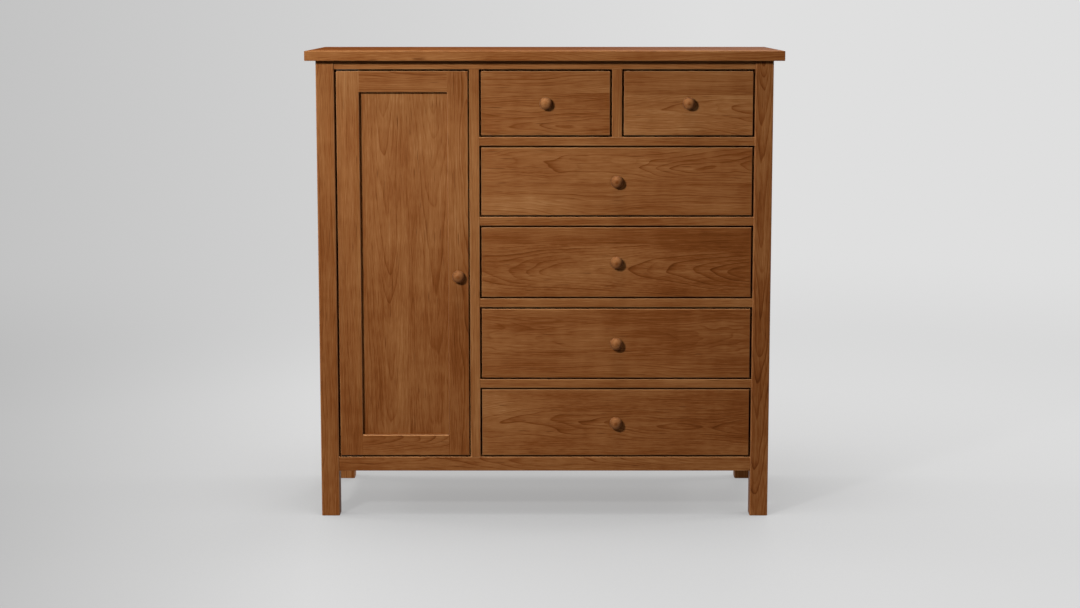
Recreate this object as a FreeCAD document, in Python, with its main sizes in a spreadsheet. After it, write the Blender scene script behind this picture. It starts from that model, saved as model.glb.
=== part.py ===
"""Chifforobe: a chest of six drawers beside a cupboard with one panelled door, on four square posts.

Millimetres, +Z up. The front faces -Y, and X runs from the door (left) to the drawers (right).
The origin is on the floor, below the middle of the top board.
Sizes that can be set by themselves are in the sheet Sizes. The sheet Places holds what follows
from them. Every sub-part is bound to those two sheets.
"""
import FreeCAD, Part
import math
import os
import re
import Sketcher

V = FreeCAD.Vector
TOUCH = 1e-4          # two coordinates closer than this are the same
STEP_FOLDER = "parts"

SIZES = {
    # top board
    "top_width": 1219.2,
    "top_depth": 515,
    "top_thickness": 25,
    "top_side_overhang": 25.6,
    "top_front_overhang": 25,
    # posts and the rails between them
    "post_size": 47,
    "post_arris": 4,
    "foot_arris": 1.5,
    "leg_clearance": 119.5,
    "frame_setback": 3,
    "arris": 1.5,
    "bottom_rail_height": 37,
    "bottom_rail_thickness": 26,
    "drawer_rail_height": 22.5,
    "top_rail_height": 22,
    "rail_depth": 60,
    "stile_width": 26,
    "top_divider_width": 26,
    "door_bay_width": 343.7,
    # clear heights of the drawer bays, from the lowest up
    "bottom_bay": 183,
    "fourth_bay": 189.5,
    "third_bay": 189.5,
    "second_bay": 183,
    "top_bay": 172.5,
    # sides, back, bottom and partition
    "side_rail_height": 60,
    "side_rail_thickness": 22,
    "side_panel_thickness": 12,
    "side_groove_depth": 8,
    "back_panel_thickness": 9,
    "back_inset": 3,
    "back_lap": 10,
    "rear_rail_thickness": 20,
    "rear_top_rail_height": 60,
    "bottom_board_thickness": 19,
    "partition_thickness": 18,
    "cleat_width": 30,
    # shelves behind the door, on pins in rows of holes
    "shelf_thickness": 18,
    "shelf_end_gap": 1,
    "shelf_front_gap": 5,
    "shelf_rear_gap": 2,
    "seat_gap": 0.1,
    "pin_diameter": 5,
    "pin_reach": 9,
    "pin_end_distance": 38,
    "pin_end_gap": 0.5,
    "pin_hole_rise": 143.5,
    "pin_hole_pitch": 50,
    "pin_hole_count": 15,
    "bore_clearance": 0.05,
    # drawers
    "drawer_side_reveal": 4.5,
    "drawer_reveal": 4.5,
    "front_thickness": 20,
    "drawer_rear_gap": 20,
    "drawer_side_thickness": 13,
    "drawer_side_drop": 3,
    "tail_length": 13,
    "tail_flare": 2,
    "pin_width": 9,
    "drawer_bottom_thickness": 6,
    "drawer_bottom_rise": 12,
    "drawer_groove_depth": 6,
    "drawer_bottom_play": 0.5,
    # what the drawers run on
    "running_gap": 0.3,
    "runner_margin": 4,
    "guide_gap": 0.8,
    "guide_height": 25,
    "web_rail_depth": 60,
    "stop_width": 25,
    "stop_depth": 12,
    "stop_height": 8,
    "stop_end_distance": 60,
    # door
    "door_thickness": 24,
    "door_reveal": 4.4,
    "hinge_gap": 4.3,
    "lock_gap": 3,
    "hinge_stile_width": 58.5,
    "lock_stile_width": 53,
    "door_rail_width": 54,
    "panel_thickness": 6,
    "panel_back_shoulder": 4,
    "panel_groove_depth": 10,
    "panel_play": 1,
    "opening_arris": 2.5,
    # pivot hinges
    "pivot_from_edge": 6.5,
    "pivot_from_face": 7,
    "pivot_diameter": 5,
    "pivot_boss_diameter": 9,
    "pivot_depth": 12,
    "pivot_end_gap": 1,
    "pivot_wood_clearance": 0.4,
    "leaf_width": 10,
    "leaf_tail": 5,
    "leaf_end_gap": 2,
    "frame_leaf_thickness": 2.6,
    "door_leaf_thickness": 2.5,
    "leaf_screw_diameter": 3,
    "leaf_screw_grip": 11,
    "leaf_screw_from_pivot": 20,
    "leaf_screw_from_end": 8,
    # magnetic catch
    "catch_width": 40,
    "catch_depth": 16,
    "catch_height": 20,
    "magnet_width": 24,
    "magnet_depth": 6,
    "magnet_height": 10,
    "strike_width": 24,
    "strike_height": 12,
    "strike_thickness": 1.2,
    "strike_rise": 1,
    "catch_gap": 0.3,
    # knobs
    "knob_diameter": 32,
    "knob_projection": 25,
    "knob_neck_diameter": 17,
    "knob_neck_height": 5,
    "knob_dome_height": 15,
    "knob_edge_thickness": 2.5,
    "knob_edge_arris": 1,
    "knob_cove_radius": 9,
    "knob_bore_depth": 14,
    "door_knob_height": 471.5,
    "knob_screw_diameter": 4,
    "knob_screw_engagement": 13,
    "knob_screw_head": 8,
    "knob_screw_head_thickness": 2.5,
    # assembly screws
    "screw_diameter": 5,
    "screw_head": 9,
    "screw_head_thickness": 2.5,
    "screw_end_gap": 0.5,
    "top_screw_grip": 16,
    "top_screw_end_distance": 90,
    "back_screw_grip": 16,
    "back_screw_end_distance": 45,
    "back_screw_rise": 18,
}

PLACES = {
    # the carcass in plan
    "carcass_width": "top_width - 2 * top_side_overhang",
    "front_y": "top_front_overhang - top_depth / 2",
    "back_y": "top_depth / 2",
    "face_y": "front_y + frame_setback",
    "rail_back_y": "face_y + rail_depth",
    "bottom_board_y": "face_y + bottom_rail_thickness",
    "front_post_back_y": "front_y + post_size",
    "rear_post_y": "back_y - post_size",
    "back_rabbet_depth": "back_inset + back_panel_thickness",
    "back_panel_y": "back_y - back_rabbet_depth",
    "rear_rail_y": "back_panel_y - rear_rail_thickness",
    "inner_left": "post_size - carcass_width / 2",
    "inner_right": "carcass_width / 2 - post_size",
    "inner_width": "inner_right - inner_left",
    "side_rail_inner": "carcass_width / 2 - frame_setback - side_rail_thickness",
    "side_panel_inset": "frame_setback + (side_rail_thickness - side_panel_thickness) / 2",
    "side_panel_inner": "carcass_width / 2 - side_panel_inset - side_panel_thickness",
    "stile_left": "inner_left + door_bay_width",
    "stile_right": "stile_left + stile_width",
    "partition_left": "(stile_left + stile_right - partition_thickness) / 2",
    "partition_right": "partition_left + partition_thickness",
    "drawer_bay_width": "inner_right - stile_right",
    "small_bay_width": "(drawer_bay_width - top_divider_width) / 2",
    "divider_left": "stile_right + small_bay_width",
    "divider_right": "divider_left + top_divider_width",
    # the carcass in height: the floor of each bay is the top of the rail below it
    "bottom_floor": "leg_clearance + bottom_rail_height",
    "fourth_floor": "bottom_floor + bottom_bay + drawer_rail_height",
    "third_floor": "fourth_floor + fourth_bay + drawer_rail_height",
    "second_floor": "third_floor + third_bay + drawer_rail_height",
    "top_floor": "second_floor + second_bay + drawer_rail_height",
    "top_rail_floor": "top_floor + top_bay",
    "carcass_height": "top_rail_floor + top_rail_height",
    "side_panel_low": "leg_clearance + side_rail_height - side_groove_depth",
    "side_panel_high": "carcass_height - side_rail_height + side_groove_depth",
    "side_panel_height": "side_panel_high - side_panel_low",
    "side_panel_y": "front_post_back_y - side_groove_depth",
    "back_panel_height": "carcass_height - leg_clearance",
    # shelves and their pins
    "shelf_y": "rail_back_y + shelf_front_gap",
    "shelf_back_y": "rear_post_y - shelf_rear_gap",
    "pin_hole_start": "bottom_floor + pin_hole_rise",
    "pin_front_y": "shelf_y + pin_end_distance",
    "pin_rear_y": "shelf_back_y - pin_end_distance",
    "pin_hole": "pin_diameter + 2 * bore_clearance",
    "pin_hole_depth": "pin_reach + pin_end_gap",
    # drawers
    "drawer_length": "rear_rail_y - drawer_rear_gap - face_y",
    "tail_lap": "front_thickness - tail_length",
    # what the drawers run on, from the ends of their bay
    "runner_rise": "drawer_reveal - running_gap",
    "runner_reach": "drawer_side_reveal + drawer_side_thickness + runner_margin",
    "guide_reach": "drawer_side_reveal - guide_gap",
    "web_rail_y": "rear_post_y - web_rail_depth",
    # door
    "door_left": "inner_left + hinge_gap",
    "door_right": "stile_left - lock_gap",
    "door_low": "bottom_floor + door_reveal",
    "door_high": "top_rail_floor - door_reveal",
    "door_height": "door_high - door_low",
    "door_middle_z": "(door_low + door_high) / 2",
    "door_back_y": "face_y + door_thickness",
    "opening_left": "door_left + hinge_stile_width",
    "opening_right": "door_right - lock_stile_width",
    "opening_width": "opening_right - opening_left",
    "opening_height": "door_height - 2 * door_rail_width",
    "panel_recess": "door_thickness - panel_back_shoulder - panel_thickness",
    "panel_lap": "panel_groove_depth - panel_play",
    "knob_stile_x": "door_right - lock_stile_width / 2",
    # pivot hinges
    "pivot_x": "door_left + pivot_from_edge",
    "pivot_y": "face_y + pivot_from_face",
    "leaf_reach": "hinge_stile_width - pivot_from_edge - leaf_end_gap",
    "leaf_length": "leaf_tail + leaf_reach",
    "pivot_hole": "pivot_diameter + 2 * bore_clearance",
    "boss_thickness": "door_reveal - frame_leaf_thickness - running_gap",
    "leaf_screw_hole": "leaf_screw_diameter + 2 * bore_clearance",
    # magnetic catch
    "catch_y": "door_back_y + strike_thickness + catch_gap",
    "catch_z": "top_rail_floor - catch_height",
    "strike_z": "catch_z + strike_rise",
    # knobs and screws
    "knob_radius": "knob_diameter / 2",
    "knob_bore_radius": "knob_screw_diameter / 2 + bore_clearance",
    "knob_cove_start": "knob_dome_height + knob_edge_thickness",
    "knob_cove_end": "knob_projection - knob_neck_height",
    "knob_hole": "knob_screw_diameter + 2 * bore_clearance",
    "screw_hole": "screw_diameter + 2 * bore_clearance",
}

TAILS = 4                      # dovetails at each front corner of a drawer
SHELF_HOLES = (1, 6, 11)       # the hole of each row, counted from 0, that carries a shelf
BACK_SCREWS_UP = 5             # screws of the back panel up each rear post
BACK_SCREWS_ALONG = 3          # screws of the back panel along each rear rail

# name: floor of its bay, clear height of the bay, the bay's left and right ends
DRAWERS = {
    "top_left_drawer": ("top_floor", "top_bay", "stile_right", "divider_left"),
    "top_right_drawer": ("top_floor", "top_bay", "divider_right", "inner_right"),
    "second_drawer": ("second_floor", "second_bay", "stile_right", "inner_right"),
    "third_drawer": ("third_floor", "third_bay", "stile_right", "inner_right"),
    "fourth_drawer": ("fourth_floor", "fourth_bay", "stile_right", "inner_right"),
    "bottom_drawer": ("bottom_floor", "bottom_bay", "stile_right", "inner_right"),
}
RAIL_FLOORS = ("fourth_floor", "third_floor", "second_floor", "top_floor")

# name, left edge, rear end of the cleats that the top board is screwed to
CLEATS = (
    ("left_cleat", "-side_rail_inner", "rear_post_y"),
    ("partition_cleat", "partition_right", "rear_rail_y"),
    ("middle_cleat", "(divider_left + divider_right - cleat_width) / 2", "rear_rail_y"),
    ("right_cleat", "side_rail_inner - cleat_width", "rear_post_y"),
)

# axis: the plane across it, and the sense of that plane's normal along it
PLANES = {"x": ("YZ_Plane", 1), "y": ("XZ_Plane", -1), "z": ("XY_Plane", 1)}

doc = FreeCAD.newDocument("chifforobe")
nodes = []


# ---------------------------------------------------------------- sheets and expressions

def named(formula, inside=""):
    """The formula with its sheet's name before each alias, but for the sheet that it is inside."""
    def with_sheet(match):
        word = match.group(0)
        for sheet, cells in (("Sizes", SIZES), ("Places", PLACES)):
            if word in cells and sheet != inside:
                return f"{sheet}.{word}"
        return word
    return re.sub(r"[a-z][a-z_]*", with_sheet, formula)


def fill_sheet(name, cells):
    """A sheet with one row per alias: the alias, then its content as text."""
    sheet = doc.addObject("Spreadsheet::Sheet", name)
    for row, (alias, content) in enumerate(cells.items(), start=1):
        sheet.set(f"A{row}", alias)
        sheet.set(f"B{row}", content)
        sheet.setAlias(f"B{row}", alias)
    doc.recompute()
    return sheet


def bind(item, prop, formula):
    item.setExpression(prop, named(formula))


def put(item, corner):
    """Bind the item's place to the three formulas of its corner."""
    for axis, formula in zip("xyz", corner):
        bind(item, f".Placement.Base.{axis}", formula)
    return item


def keep(item):
    """Hand the item in as a node, under its own label."""
    nodes.append(item)
    return item


# ---------------------------------------------------------------- sketches

def new_sketch(body, name, axis="z", at="0"):
    """A sketch across the axis, at that distance along it from the body's origin."""
    role, sense = PLANES[axis]
    sketch = body.newObject("Sketcher::SketchObject", name)
    plane = next(item for item in body.Origin.OriginFeatures if item.Role == role)
    sketch.AttachmentSupport = [(plane, "")]
    sketch.MapMode = "FlatFace"
    bind(sketch, ".AttachmentOffset.Base.z", f"{sense} * ({at})")
    return sketch


def hold(sketch, geometry, end, point):
    """Fix one end of a line or arc, or a centre, at two formulas from the sketch's origin."""
    rough = sketch.getPoint(geometry, end)
    for formula, kind, distance, axis_line in (
        (point[0], "DistanceX", rough.x, -2), (point[1], "DistanceY", rough.y, -1),
    ):
        if formula == "0":
            sketch.addConstraint(Sketcher.Constraint("PointOnObject", geometry, end, axis_line))
        else:
            index = sketch.addConstraint(Sketcher.Constraint(kind, -1, 1, geometry, end, max(distance, 1.0)))
            bind(sketch, f"Constraints[{index}]", formula)


def join(sketch, first, second):
    """Make two (geometry, end) pairs one point."""
    sketch.addConstraint(Sketcher.Constraint("Coincident", *first, *second))


def polygon(sketch, points):
    """A closed outline of straight lines with its corners held at the formulas given."""
    first = sketch.GeometryCount
    count = len(points)
    angles = [2 * math.pi * k / count for k in range(count)]
    rough = [V(math.cos(angle), math.sin(angle), 0) for angle in angles]
    for k in range(count):
        sketch.addGeometry(Part.LineSegment(rough[k], rough[(k + 1) % count]))
    for k in range(count):
        join(sketch, (first + k, 2), (first + (k + 1) % count, 1))
        hold(sketch, first + k, 1, points[k])


def rectangle(left, low, width, height):
    """The corners of a rectangle, as polygon() takes them."""
    right = f"{left} + {width}"
    high = f"{low} + {height}"
    return [(left, low), (right, low), (right, high), (left, high)]


def arc(sketch, start, middle, end):
    """An arc through three points, with its (geometry, end) pairs for the start and the end."""
    index = sketch.addGeometry(Part.Arc(V(*start, 0), V(*middle, 0), V(*end, 0)))
    forward = sketch.getPoint(index, 1).distanceToPoint(V(*start, 0)) < TOUCH
    return (index, 1 if forward else 2), (index, 2 if forward else 1)


def set_radius(sketch, index, formula):
    constraint = sketch.addConstraint(Sketcher.Constraint("Radius", index, sketch.Geometry[index].Radius))
    bind(sketch, f"Constraints[{constraint}]", formula)


# ---------------------------------------------------------------- features of a body

def new_body(label, corner):
    body = doc.addObject("PartDesign::Body", label)
    body.Label = label
    return put(body, corner)


def extrude(body, sketch, length):
    pad = body.newObject("PartDesign::Pad", sketch.Name + "Pad")
    pad.Profile = sketch
    bind(pad, "Length", length)
    doc.recompute()
    return pad


def pocket(body, sketch, depth, with_normal=False):
    """Cut the sketch's outline into the body, against or with the sketch's normal."""
    before = body.Shape.Volume
    cut = body.newObject("PartDesign::Pocket", sketch.Name + "Cut")
    cut.Profile = sketch
    cut.Reversed = with_normal
    bind(cut, "Length", depth)
    doc.recompute()
    if not body.Shape.Volume < before - TOUCH:
        raise RuntimeError(f"{body.Label}: {cut.Name} cuts nothing")
    return cut


def notch(body, name, corner, size):
    """Cut a box out of the body, given by its low corner and its size."""
    across, deep, low = corner
    sketch = new_sketch(body, name, "z", f"{low} + {size[2]}")
    polygon(sketch, rectangle(across, deep, size[0], size[1]))
    return pocket(body, sketch, size[2])


def drill(body, name, axis, at, centres, diameter, depth):
    """Bore round holes along the axis named "+x", "-z" and so on, starting at a distance along it."""
    sketch = new_sketch(body, name, axis[1], at)
    for centre in centres:
        circle = sketch.addGeometry(Part.Circle(V(1, 1, 0), V(0, 0, 1), 1))
        hold(sketch, circle, 3, centre)
        set_radius(sketch, circle, f"({diameter}) / 2")
    sense = 1 if axis[0] == "+" else -1
    return pocket(body, sketch, depth, with_normal=sense == PLANES[axis[1]][1])


def ease(body, wanted, radius="arris"):
    """Round the edges of the body's last feature that the function wanted picks."""
    feature = body.Tip
    box = feature.Shape.BoundBox
    names = [
        f"Edge{number}"
        for number, edge in enumerate(feature.Shape.Edges, start=1)
        if wanted(edge.BoundBox, box)
    ]
    fillet = body.newObject("PartDesign::Fillet", "Arris")
    fillet.Base = (feature, names)
    bind(fillet, "Radius", radius)
    doc.recompute()
    return fillet


def on_front(edge, box):
    return edge.YMax < box.YMin + TOUCH


def along_front(edge, box):
    return on_front(edge, box) and edge.XLength > box.XLength - TOUCH


def low_front(edge, box):
    return along_front(edge, box) and on_foot(edge, box)


def high_front(edge, box):
    return along_front(edge, box) and edge.ZMin > box.ZMax - TOUCH


def up_front(edge, box):
    return on_front(edge, box) and edge.ZLength > box.ZLength - TOUCH


def not_left(edge, box):
    return on_front(edge, box) and edge.XMax > box.XMin + TOUCH


def not_right(edge, box):
    return on_front(edge, box) and edge.XMin < box.XMax - TOUCH


def along_left(edge, box):
    return edge.YLength > box.YLength - TOUCH and edge.XMax < box.XMin + TOUCH


def along_right(edge, box):
    return edge.YLength > box.YLength - TOUCH and edge.XMin > box.XMax - TOUCH


def upright(edge, box):
    return edge.ZLength > box.ZLength - TOUCH


def on_foot(edge, box):
    return edge.ZMax < box.ZMin + TOUCH


def every_edge(edge, box):
    return True


# ---------------------------------------------------------------- whole pieces

def board(label, corner, size, eased=None):
    """A rectangular board from its low corner, with the picked edges eased."""
    body = new_body(label, corner)
    sketch = new_sketch(body, "Outline")
    polygon(sketch, rectangle("0", "0", size[0], size[1]))
    extrude(body, sketch, size[2])
    if eased:
        ease(body, eased)
    return body


def block(label, corner, size):
    """A plain strip or block without eased edges."""
    box = doc.addObject("Part::Box", label)
    box.Label = label
    for prop, formula in zip(("Length", "Width", "Height"), size):
        bind(box, prop, formula)
    return put(box, corner)


def rod(label, axis, centre, diameter, length):
    """A cylinder from the centre of its low end, along x, y or z."""
    cylinder = doc.addObject("Part::Cylinder", label)
    cylinder.Label = label
    bind(cylinder, "Radius", f"({diameter}) / 2")
    bind(cylinder, "Height", length)
    directions = {"x": V(1, 0, 0), "y": V(0, 1, 0), "z": V(0, 0, 1)}
    cylinder.Placement.Rotation = FreeCAD.Rotation(V(0, 0, 1), directions[axis])
    return put(cylinder, centre)


def fused(label, items):
    joined = doc.addObject("Part::MultiFuse", label)
    joined.Label = label
    joined.Shapes = items
    return joined


def bored(label, item, rods):
    """The item with the rods taken out of it."""
    tools = doc.addObject("Part::Compound", label + "_bores")
    tools.Links = rods
    cut = doc.addObject("Part::Cut", label)
    cut.Label = label
    cut.Base = item
    cut.Tool = tools
    return cut


def mirrored(item, axis, at):
    """The item's mirror image in the plane across the axis at that place."""
    twin = doc.addObject("Part::Mirroring", item.Label + "_twin")
    twin.Source = item
    twin.Normal = {"x": V(1, 0, 0), "z": V(0, 0, 1)}[axis]
    bind(twin, f"Base.{axis}", at)
    return twin


def group(label, items):
    """Separate solids that share one node."""
    gathered = doc.addObject("Part::Compound", label)
    gathered.Label = label
    gathered.Links = items
    return keep(gathered)


# ---------------------------------------------------------------- posts, top, sides and back

def spread(low, span, count):
    """Formulas evenly spread over a span, both of its ends included."""
    return [f"{low} + ({span}) * {k} / {count - 1}" for k in range(count)]


def back_screw_heights():
    """Heights of the back panel's screws in the posts, from the panel's lower edge."""
    span = "back_panel_height - 2 * back_screw_end_distance"
    return spread("back_screw_end_distance", span, BACK_SCREWS_UP)


def back_screw_places():
    """Distances of the back panel's screws along the rear rails, from the left post's inner face."""
    step = f"inner_width / {BACK_SCREWS_ALONG + 1}"
    return [f"{k} * {step}" for k in range(1, BACK_SCREWS_ALONG + 1)]


def back_screw_centres():
    """The x and z of every screw of the back panel from the panel's low corner."""
    in_posts = [
        (x, height)
        for x in ("back_lap / 2", "inner_width + 1.5 * back_lap")
        for height in back_screw_heights()
    ]
    in_rails = [
        (f"back_lap + {x}", height)
        for x in back_screw_places()
        for height in ("back_screw_rise", "back_panel_height - rear_top_rail_height / 2")
    ]
    return in_posts + in_rails


def make_post(side, end):
    """A corner post, grooved for the side panel, and if at the rear also rabbeted for the back."""
    on_left = side == "left"
    corner = (
        "-carcass_width / 2" if on_left else "inner_right",
        "front_y" if end == "front" else "rear_post_y",
        "0",
    )
    body = board(f"{side}_{end}_post", corner, ("post_size", "post_size", "carcass_height"))
    ease(body, upright, "post_arris")
    ease(body, on_foot, "foot_arris")
    notch(
        body, "PanelGroove",
        (
            "side_panel_inset" if on_left else "post_size - side_panel_inset - side_panel_thickness",
            "post_size - side_groove_depth" if end == "front" else "0",
            "side_panel_low",
        ),
        ("side_panel_thickness", "side_groove_depth", "side_panel_height"),
    )
    if end == "rear":
        notch(
            body, "BackRabbet",
            ("post_size - back_lap" if on_left else "0", "post_size - back_rabbet_depth", "leg_clearance"),
            ("back_lap", "back_rabbet_depth", "back_panel_height"),
        )
        screw_x = "post_size - back_lap / 2" if on_left else "back_lap / 2"
        drill(
            body, "BackScrewHoles", "-y", "post_size - back_rabbet_depth",
            [(screw_x, f"leg_clearance + {height}") for height in back_screw_heights()],
            "screw_hole", "back_screw_grip + screw_end_gap",
        )
    keep(body)


def top_screw_places():
    """The x and y of each screw that holds the top board, two along each cleat."""
    rows = ("rail_back_y + top_screw_end_distance", "rear_post_y - top_screw_end_distance")
    return [(f"{left} + cleat_width / 2", y) for _, left, _ in CLEATS for y in rows]


def make_top():
    body = board(
        "top_board", ("-top_width / 2", "-top_depth / 2", "carcass_height"),
        ("top_width", "top_depth", "top_thickness"), every_edge,
    )
    drill(
        body, "TopScrewHoles", "+z", "0",
        [(f"top_width / 2 + {x}", f"top_depth / 2 + {y}") for x, y in top_screw_places()],
        "screw_hole", "top_screw_grip + screw_end_gap",
    )
    keep(body)

    cleats = []
    for name, left, rear in CLEATS:
        cleat = board(
            name, (left, "rail_back_y", "top_rail_floor"),
            ("cleat_width", f"{rear} - rail_back_y", "top_rail_height"),
        )
        drill(
            cleat, "ScrewHoles", "+z", "0",
            [
                ("cleat_width / 2", "top_screw_end_distance"),
                ("cleat_width / 2", "rear_post_y - top_screw_end_distance - rail_back_y"),
            ],
            "screw_hole", "top_rail_height",
        )
        cleats.append(cleat)
    group("top_cleats", cleats)


def make_side(side):
    """The two rails and the panel between a front and a rear post."""
    on_left = side == "left"
    rail_x = "frame_setback - carcass_width / 2" if on_left else "side_rail_inner"
    panel_x = "side_panel_inset - carcass_width / 2" if on_left else "side_panel_inner"
    rails = []
    for level, low, groove_low in (
        ("lower", "leg_clearance", "side_rail_height - side_groove_depth"),
        ("upper", "carcass_height - side_rail_height", "0"),
    ):
        rail = board(
            f"{side}_{level}_side_rail", (rail_x, "front_post_back_y", low),
            ("side_rail_thickness", "rear_post_y - front_post_back_y", "side_rail_height"),
            along_left if on_left else along_right,
        )
        notch(
            rail, "PanelGroove",
            (f"{panel_x} - ({rail_x})", "0", groove_low),
            ("side_panel_thickness", "rear_post_y - front_post_back_y", "side_groove_depth"),
        )
        rails.append(rail)
    group(f"{side}_side_rails", rails)

    panel = board(
        f"{side}_side_panel", (panel_x, "side_panel_y", "side_panel_low"),
        ("side_panel_thickness", "rear_post_y + side_groove_depth - side_panel_y", "side_panel_height"),
    )
    if on_left:
        drill_pin_rows(panel, "-x", "side_panel_thickness", "side_panel_y", "side_panel_low")
    keep(panel)


def drill_pin_rows(panel, axis, at, panel_y, panel_z):
    """Two upright rows of holes for shelf pins in a panel whose low corner is at panel_y, panel_z."""
    low = f"pin_hole_start - {panel_z}"
    centres = [(f"{y} - ({panel_y})", low) for y in ("pin_front_y", "pin_rear_y")]
    holes = drill(panel, "PinHoles", axis, at, centres, "pin_hole", "pin_hole_depth")
    rows = panel.newObject("PartDesign::LinearPattern", "PinRows")
    rows.Originals = [holes]
    upwards = next(item for item in panel.Origin.OriginFeatures if item.Role == "Z_Axis")
    rows.Direction = (upwards, [""])
    rows.Mode = "Spacing"
    bind(rows, "Offset", "pin_hole_pitch")
    bind(rows, "Occurrences", "pin_hole_count")
    panel.Tip = rows
    doc.recompute()


def make_back():
    panel = board(
        "back_panel", ("inner_left - back_lap", "back_panel_y", "leg_clearance"),
        ("inner_width + 2 * back_lap", "back_panel_thickness", "back_panel_height"),
    )
    drill(panel, "ScrewHoles", "+y", "0", back_screw_centres(), "screw_hole", "back_panel_thickness")
    keep(panel)

    rails = []
    for name, low, height, screw_z in (
        ("rear_bottom_rail", "leg_clearance", "bottom_rail_height", "back_screw_rise"),
        (
            "rear_top_rail", "carcass_height - rear_top_rail_height", "rear_top_rail_height",
            "rear_top_rail_height / 2",
        ),
    ):
        rail = board(name, ("inner_left", "rear_rail_y", low), ("inner_width", "rear_rail_thickness", height))
        drill(
            rail, "ScrewHoles", "-y", "rear_rail_thickness",
            [(x, screw_z) for x in back_screw_places()],
            "screw_hole", "back_screw_grip + screw_end_gap",
        )
        rails.append(rail)
    group("rear_rails", rails)


def make_screw(name, axis, tip, length, head_first):
    """A screw along the axis from the low end of its shank, with its head below or above the shank."""
    shank = rod(f"{name}_shank", axis, tip, "screw_diameter", length)
    shift = "- screw_head_thickness" if head_first else f"+ {length}"
    under_head = tuple(
        f"{formula} {shift}" if letter == axis else formula for letter, formula in zip("xyz", tip)
    )
    head = rod(f"{name}_head", axis, under_head, "screw_head", "screw_head_thickness")
    return fused(name, [shank, head])


def make_assembly_screws():
    """The screws up through the cleats into the top board, and through the back into posts and rails."""
    group("assembly_screws", [
        make_screw(
            f"top_screw_{number}", "z", (x, y, "top_rail_floor"), "top_rail_height + top_screw_grip", True,
        )
        for number, (x, y) in enumerate(top_screw_places(), start=1)
    ] + [
        make_screw(
            f"back_screw_{number}", "y",
            (f"inner_left - back_lap + {x}", "back_panel_y - back_screw_grip", f"leg_clearance + {height}"),
            "back_screw_grip + back_panel_thickness", False,
        )
        for number, (x, height) in enumerate(back_screw_centres(), start=1)
    ])


# ---------------------------------------------------------------- front frame and inside

def make_front_frame():
    top_rail = board(
        "front_top_rail", ("inner_left", "face_y", "top_rail_floor"),
        ("inner_width", "rail_depth", "top_rail_height"), along_front,
    )
    drill(top_rail, "HingeScrewHoles", "+z", "0", frame_screw_centres(), "leaf_screw_hole", "leaf_screw_grip")
    keep(top_rail)

    bottom_rail = board(
        "front_bottom_rail", ("inner_left", "face_y", "leg_clearance"),
        ("inner_width", "bottom_rail_thickness", "bottom_rail_height"), along_front,
    )
    drill(
        bottom_rail, "HingeScrewHoles", "-z", "bottom_rail_height",
        frame_screw_centres(), "leaf_screw_hole", "leaf_screw_grip",
    )
    keep(bottom_rail)

    group("drawer_rails", [
        board(
            f"{floor}_rail", ("stile_right", "face_y", f"{floor} - drawer_rail_height"),
            ("drawer_bay_width", "rail_depth", "drawer_rail_height"), along_front,
        )
        for floor in RAIL_FLOORS
    ])
    keep(board(
        "centre_stile", ("stile_left", "face_y", "bottom_floor"),
        ("stile_width", "rail_depth", "top_rail_floor - bottom_floor"), up_front,
    ))
    keep(board(
        "top_drawer_divider", ("divider_left", "face_y", "top_floor"),
        ("top_divider_width", "rail_depth", "top_bay"), up_front,
    ))


def make_bottom_board():
    """The board under the whole inside, notched round the four posts."""
    low = "bottom_floor - bottom_board_thickness"
    body = new_body("bottom_board", ("-side_rail_inner", "bottom_board_y", low))
    side = "side_rail_inner - inner_right"
    far_side = "side_rail_inner + inner_right"
    width = "2 * side_rail_inner"
    front = "front_post_back_y - bottom_board_y"
    rear = "rear_post_y - bottom_board_y"
    depth = "rear_rail_y - bottom_board_y"
    sketch = new_sketch(body, "Plan")
    polygon(sketch, [
        (side, "0"), (far_side, "0"), (far_side, front), (width, front), (width, rear), (far_side, rear),
        (far_side, depth), (side, depth), (side, rear), ("0", rear), ("0", front), (side, front),
    ])
    extrude(body, sketch, "bottom_board_thickness")
    keep(body)


def make_partition():
    """The board that parts the cupboard from the drawers, behind the centre stile."""
    body = board(
        "partition_panel", ("partition_left", "rail_back_y", "bottom_floor"),
        ("partition_thickness", "rear_rail_y - rail_back_y", "carcass_height - bottom_floor"),
    )
    drill_pin_rows(body, "+x", "0", "rail_back_y", "bottom_floor")
    keep(body)


def make_shelves():
    shelves = []
    pins = []
    for number, hole in enumerate(SHELF_HOLES, start=1):
        pin_z = f"pin_hole_start + {hole} * pin_hole_pitch"
        shelves.append(board(
            f"shelf_{number}",
            ("shelf_end_gap - side_panel_inner", "shelf_y", f"{pin_z} + pin_diameter / 2 + seat_gap"),
            (
                "partition_left + side_panel_inner - 2 * shelf_end_gap",
                "shelf_back_y - shelf_y", "shelf_thickness",
            ),
            along_front,
        ))
        for wall in ("-side_panel_inner", "partition_left"):
            for y in ("pin_front_y", "pin_rear_y"):
                pins.append(rod(
                    f"shelf_pin_{len(pins) + 1}", "x", (f"{wall} - pin_reach", y, pin_z),
                    "pin_diameter", "2 * pin_reach",
                ))
    group("shelves", shelves)
    group("shelf_pins", pins)


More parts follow.
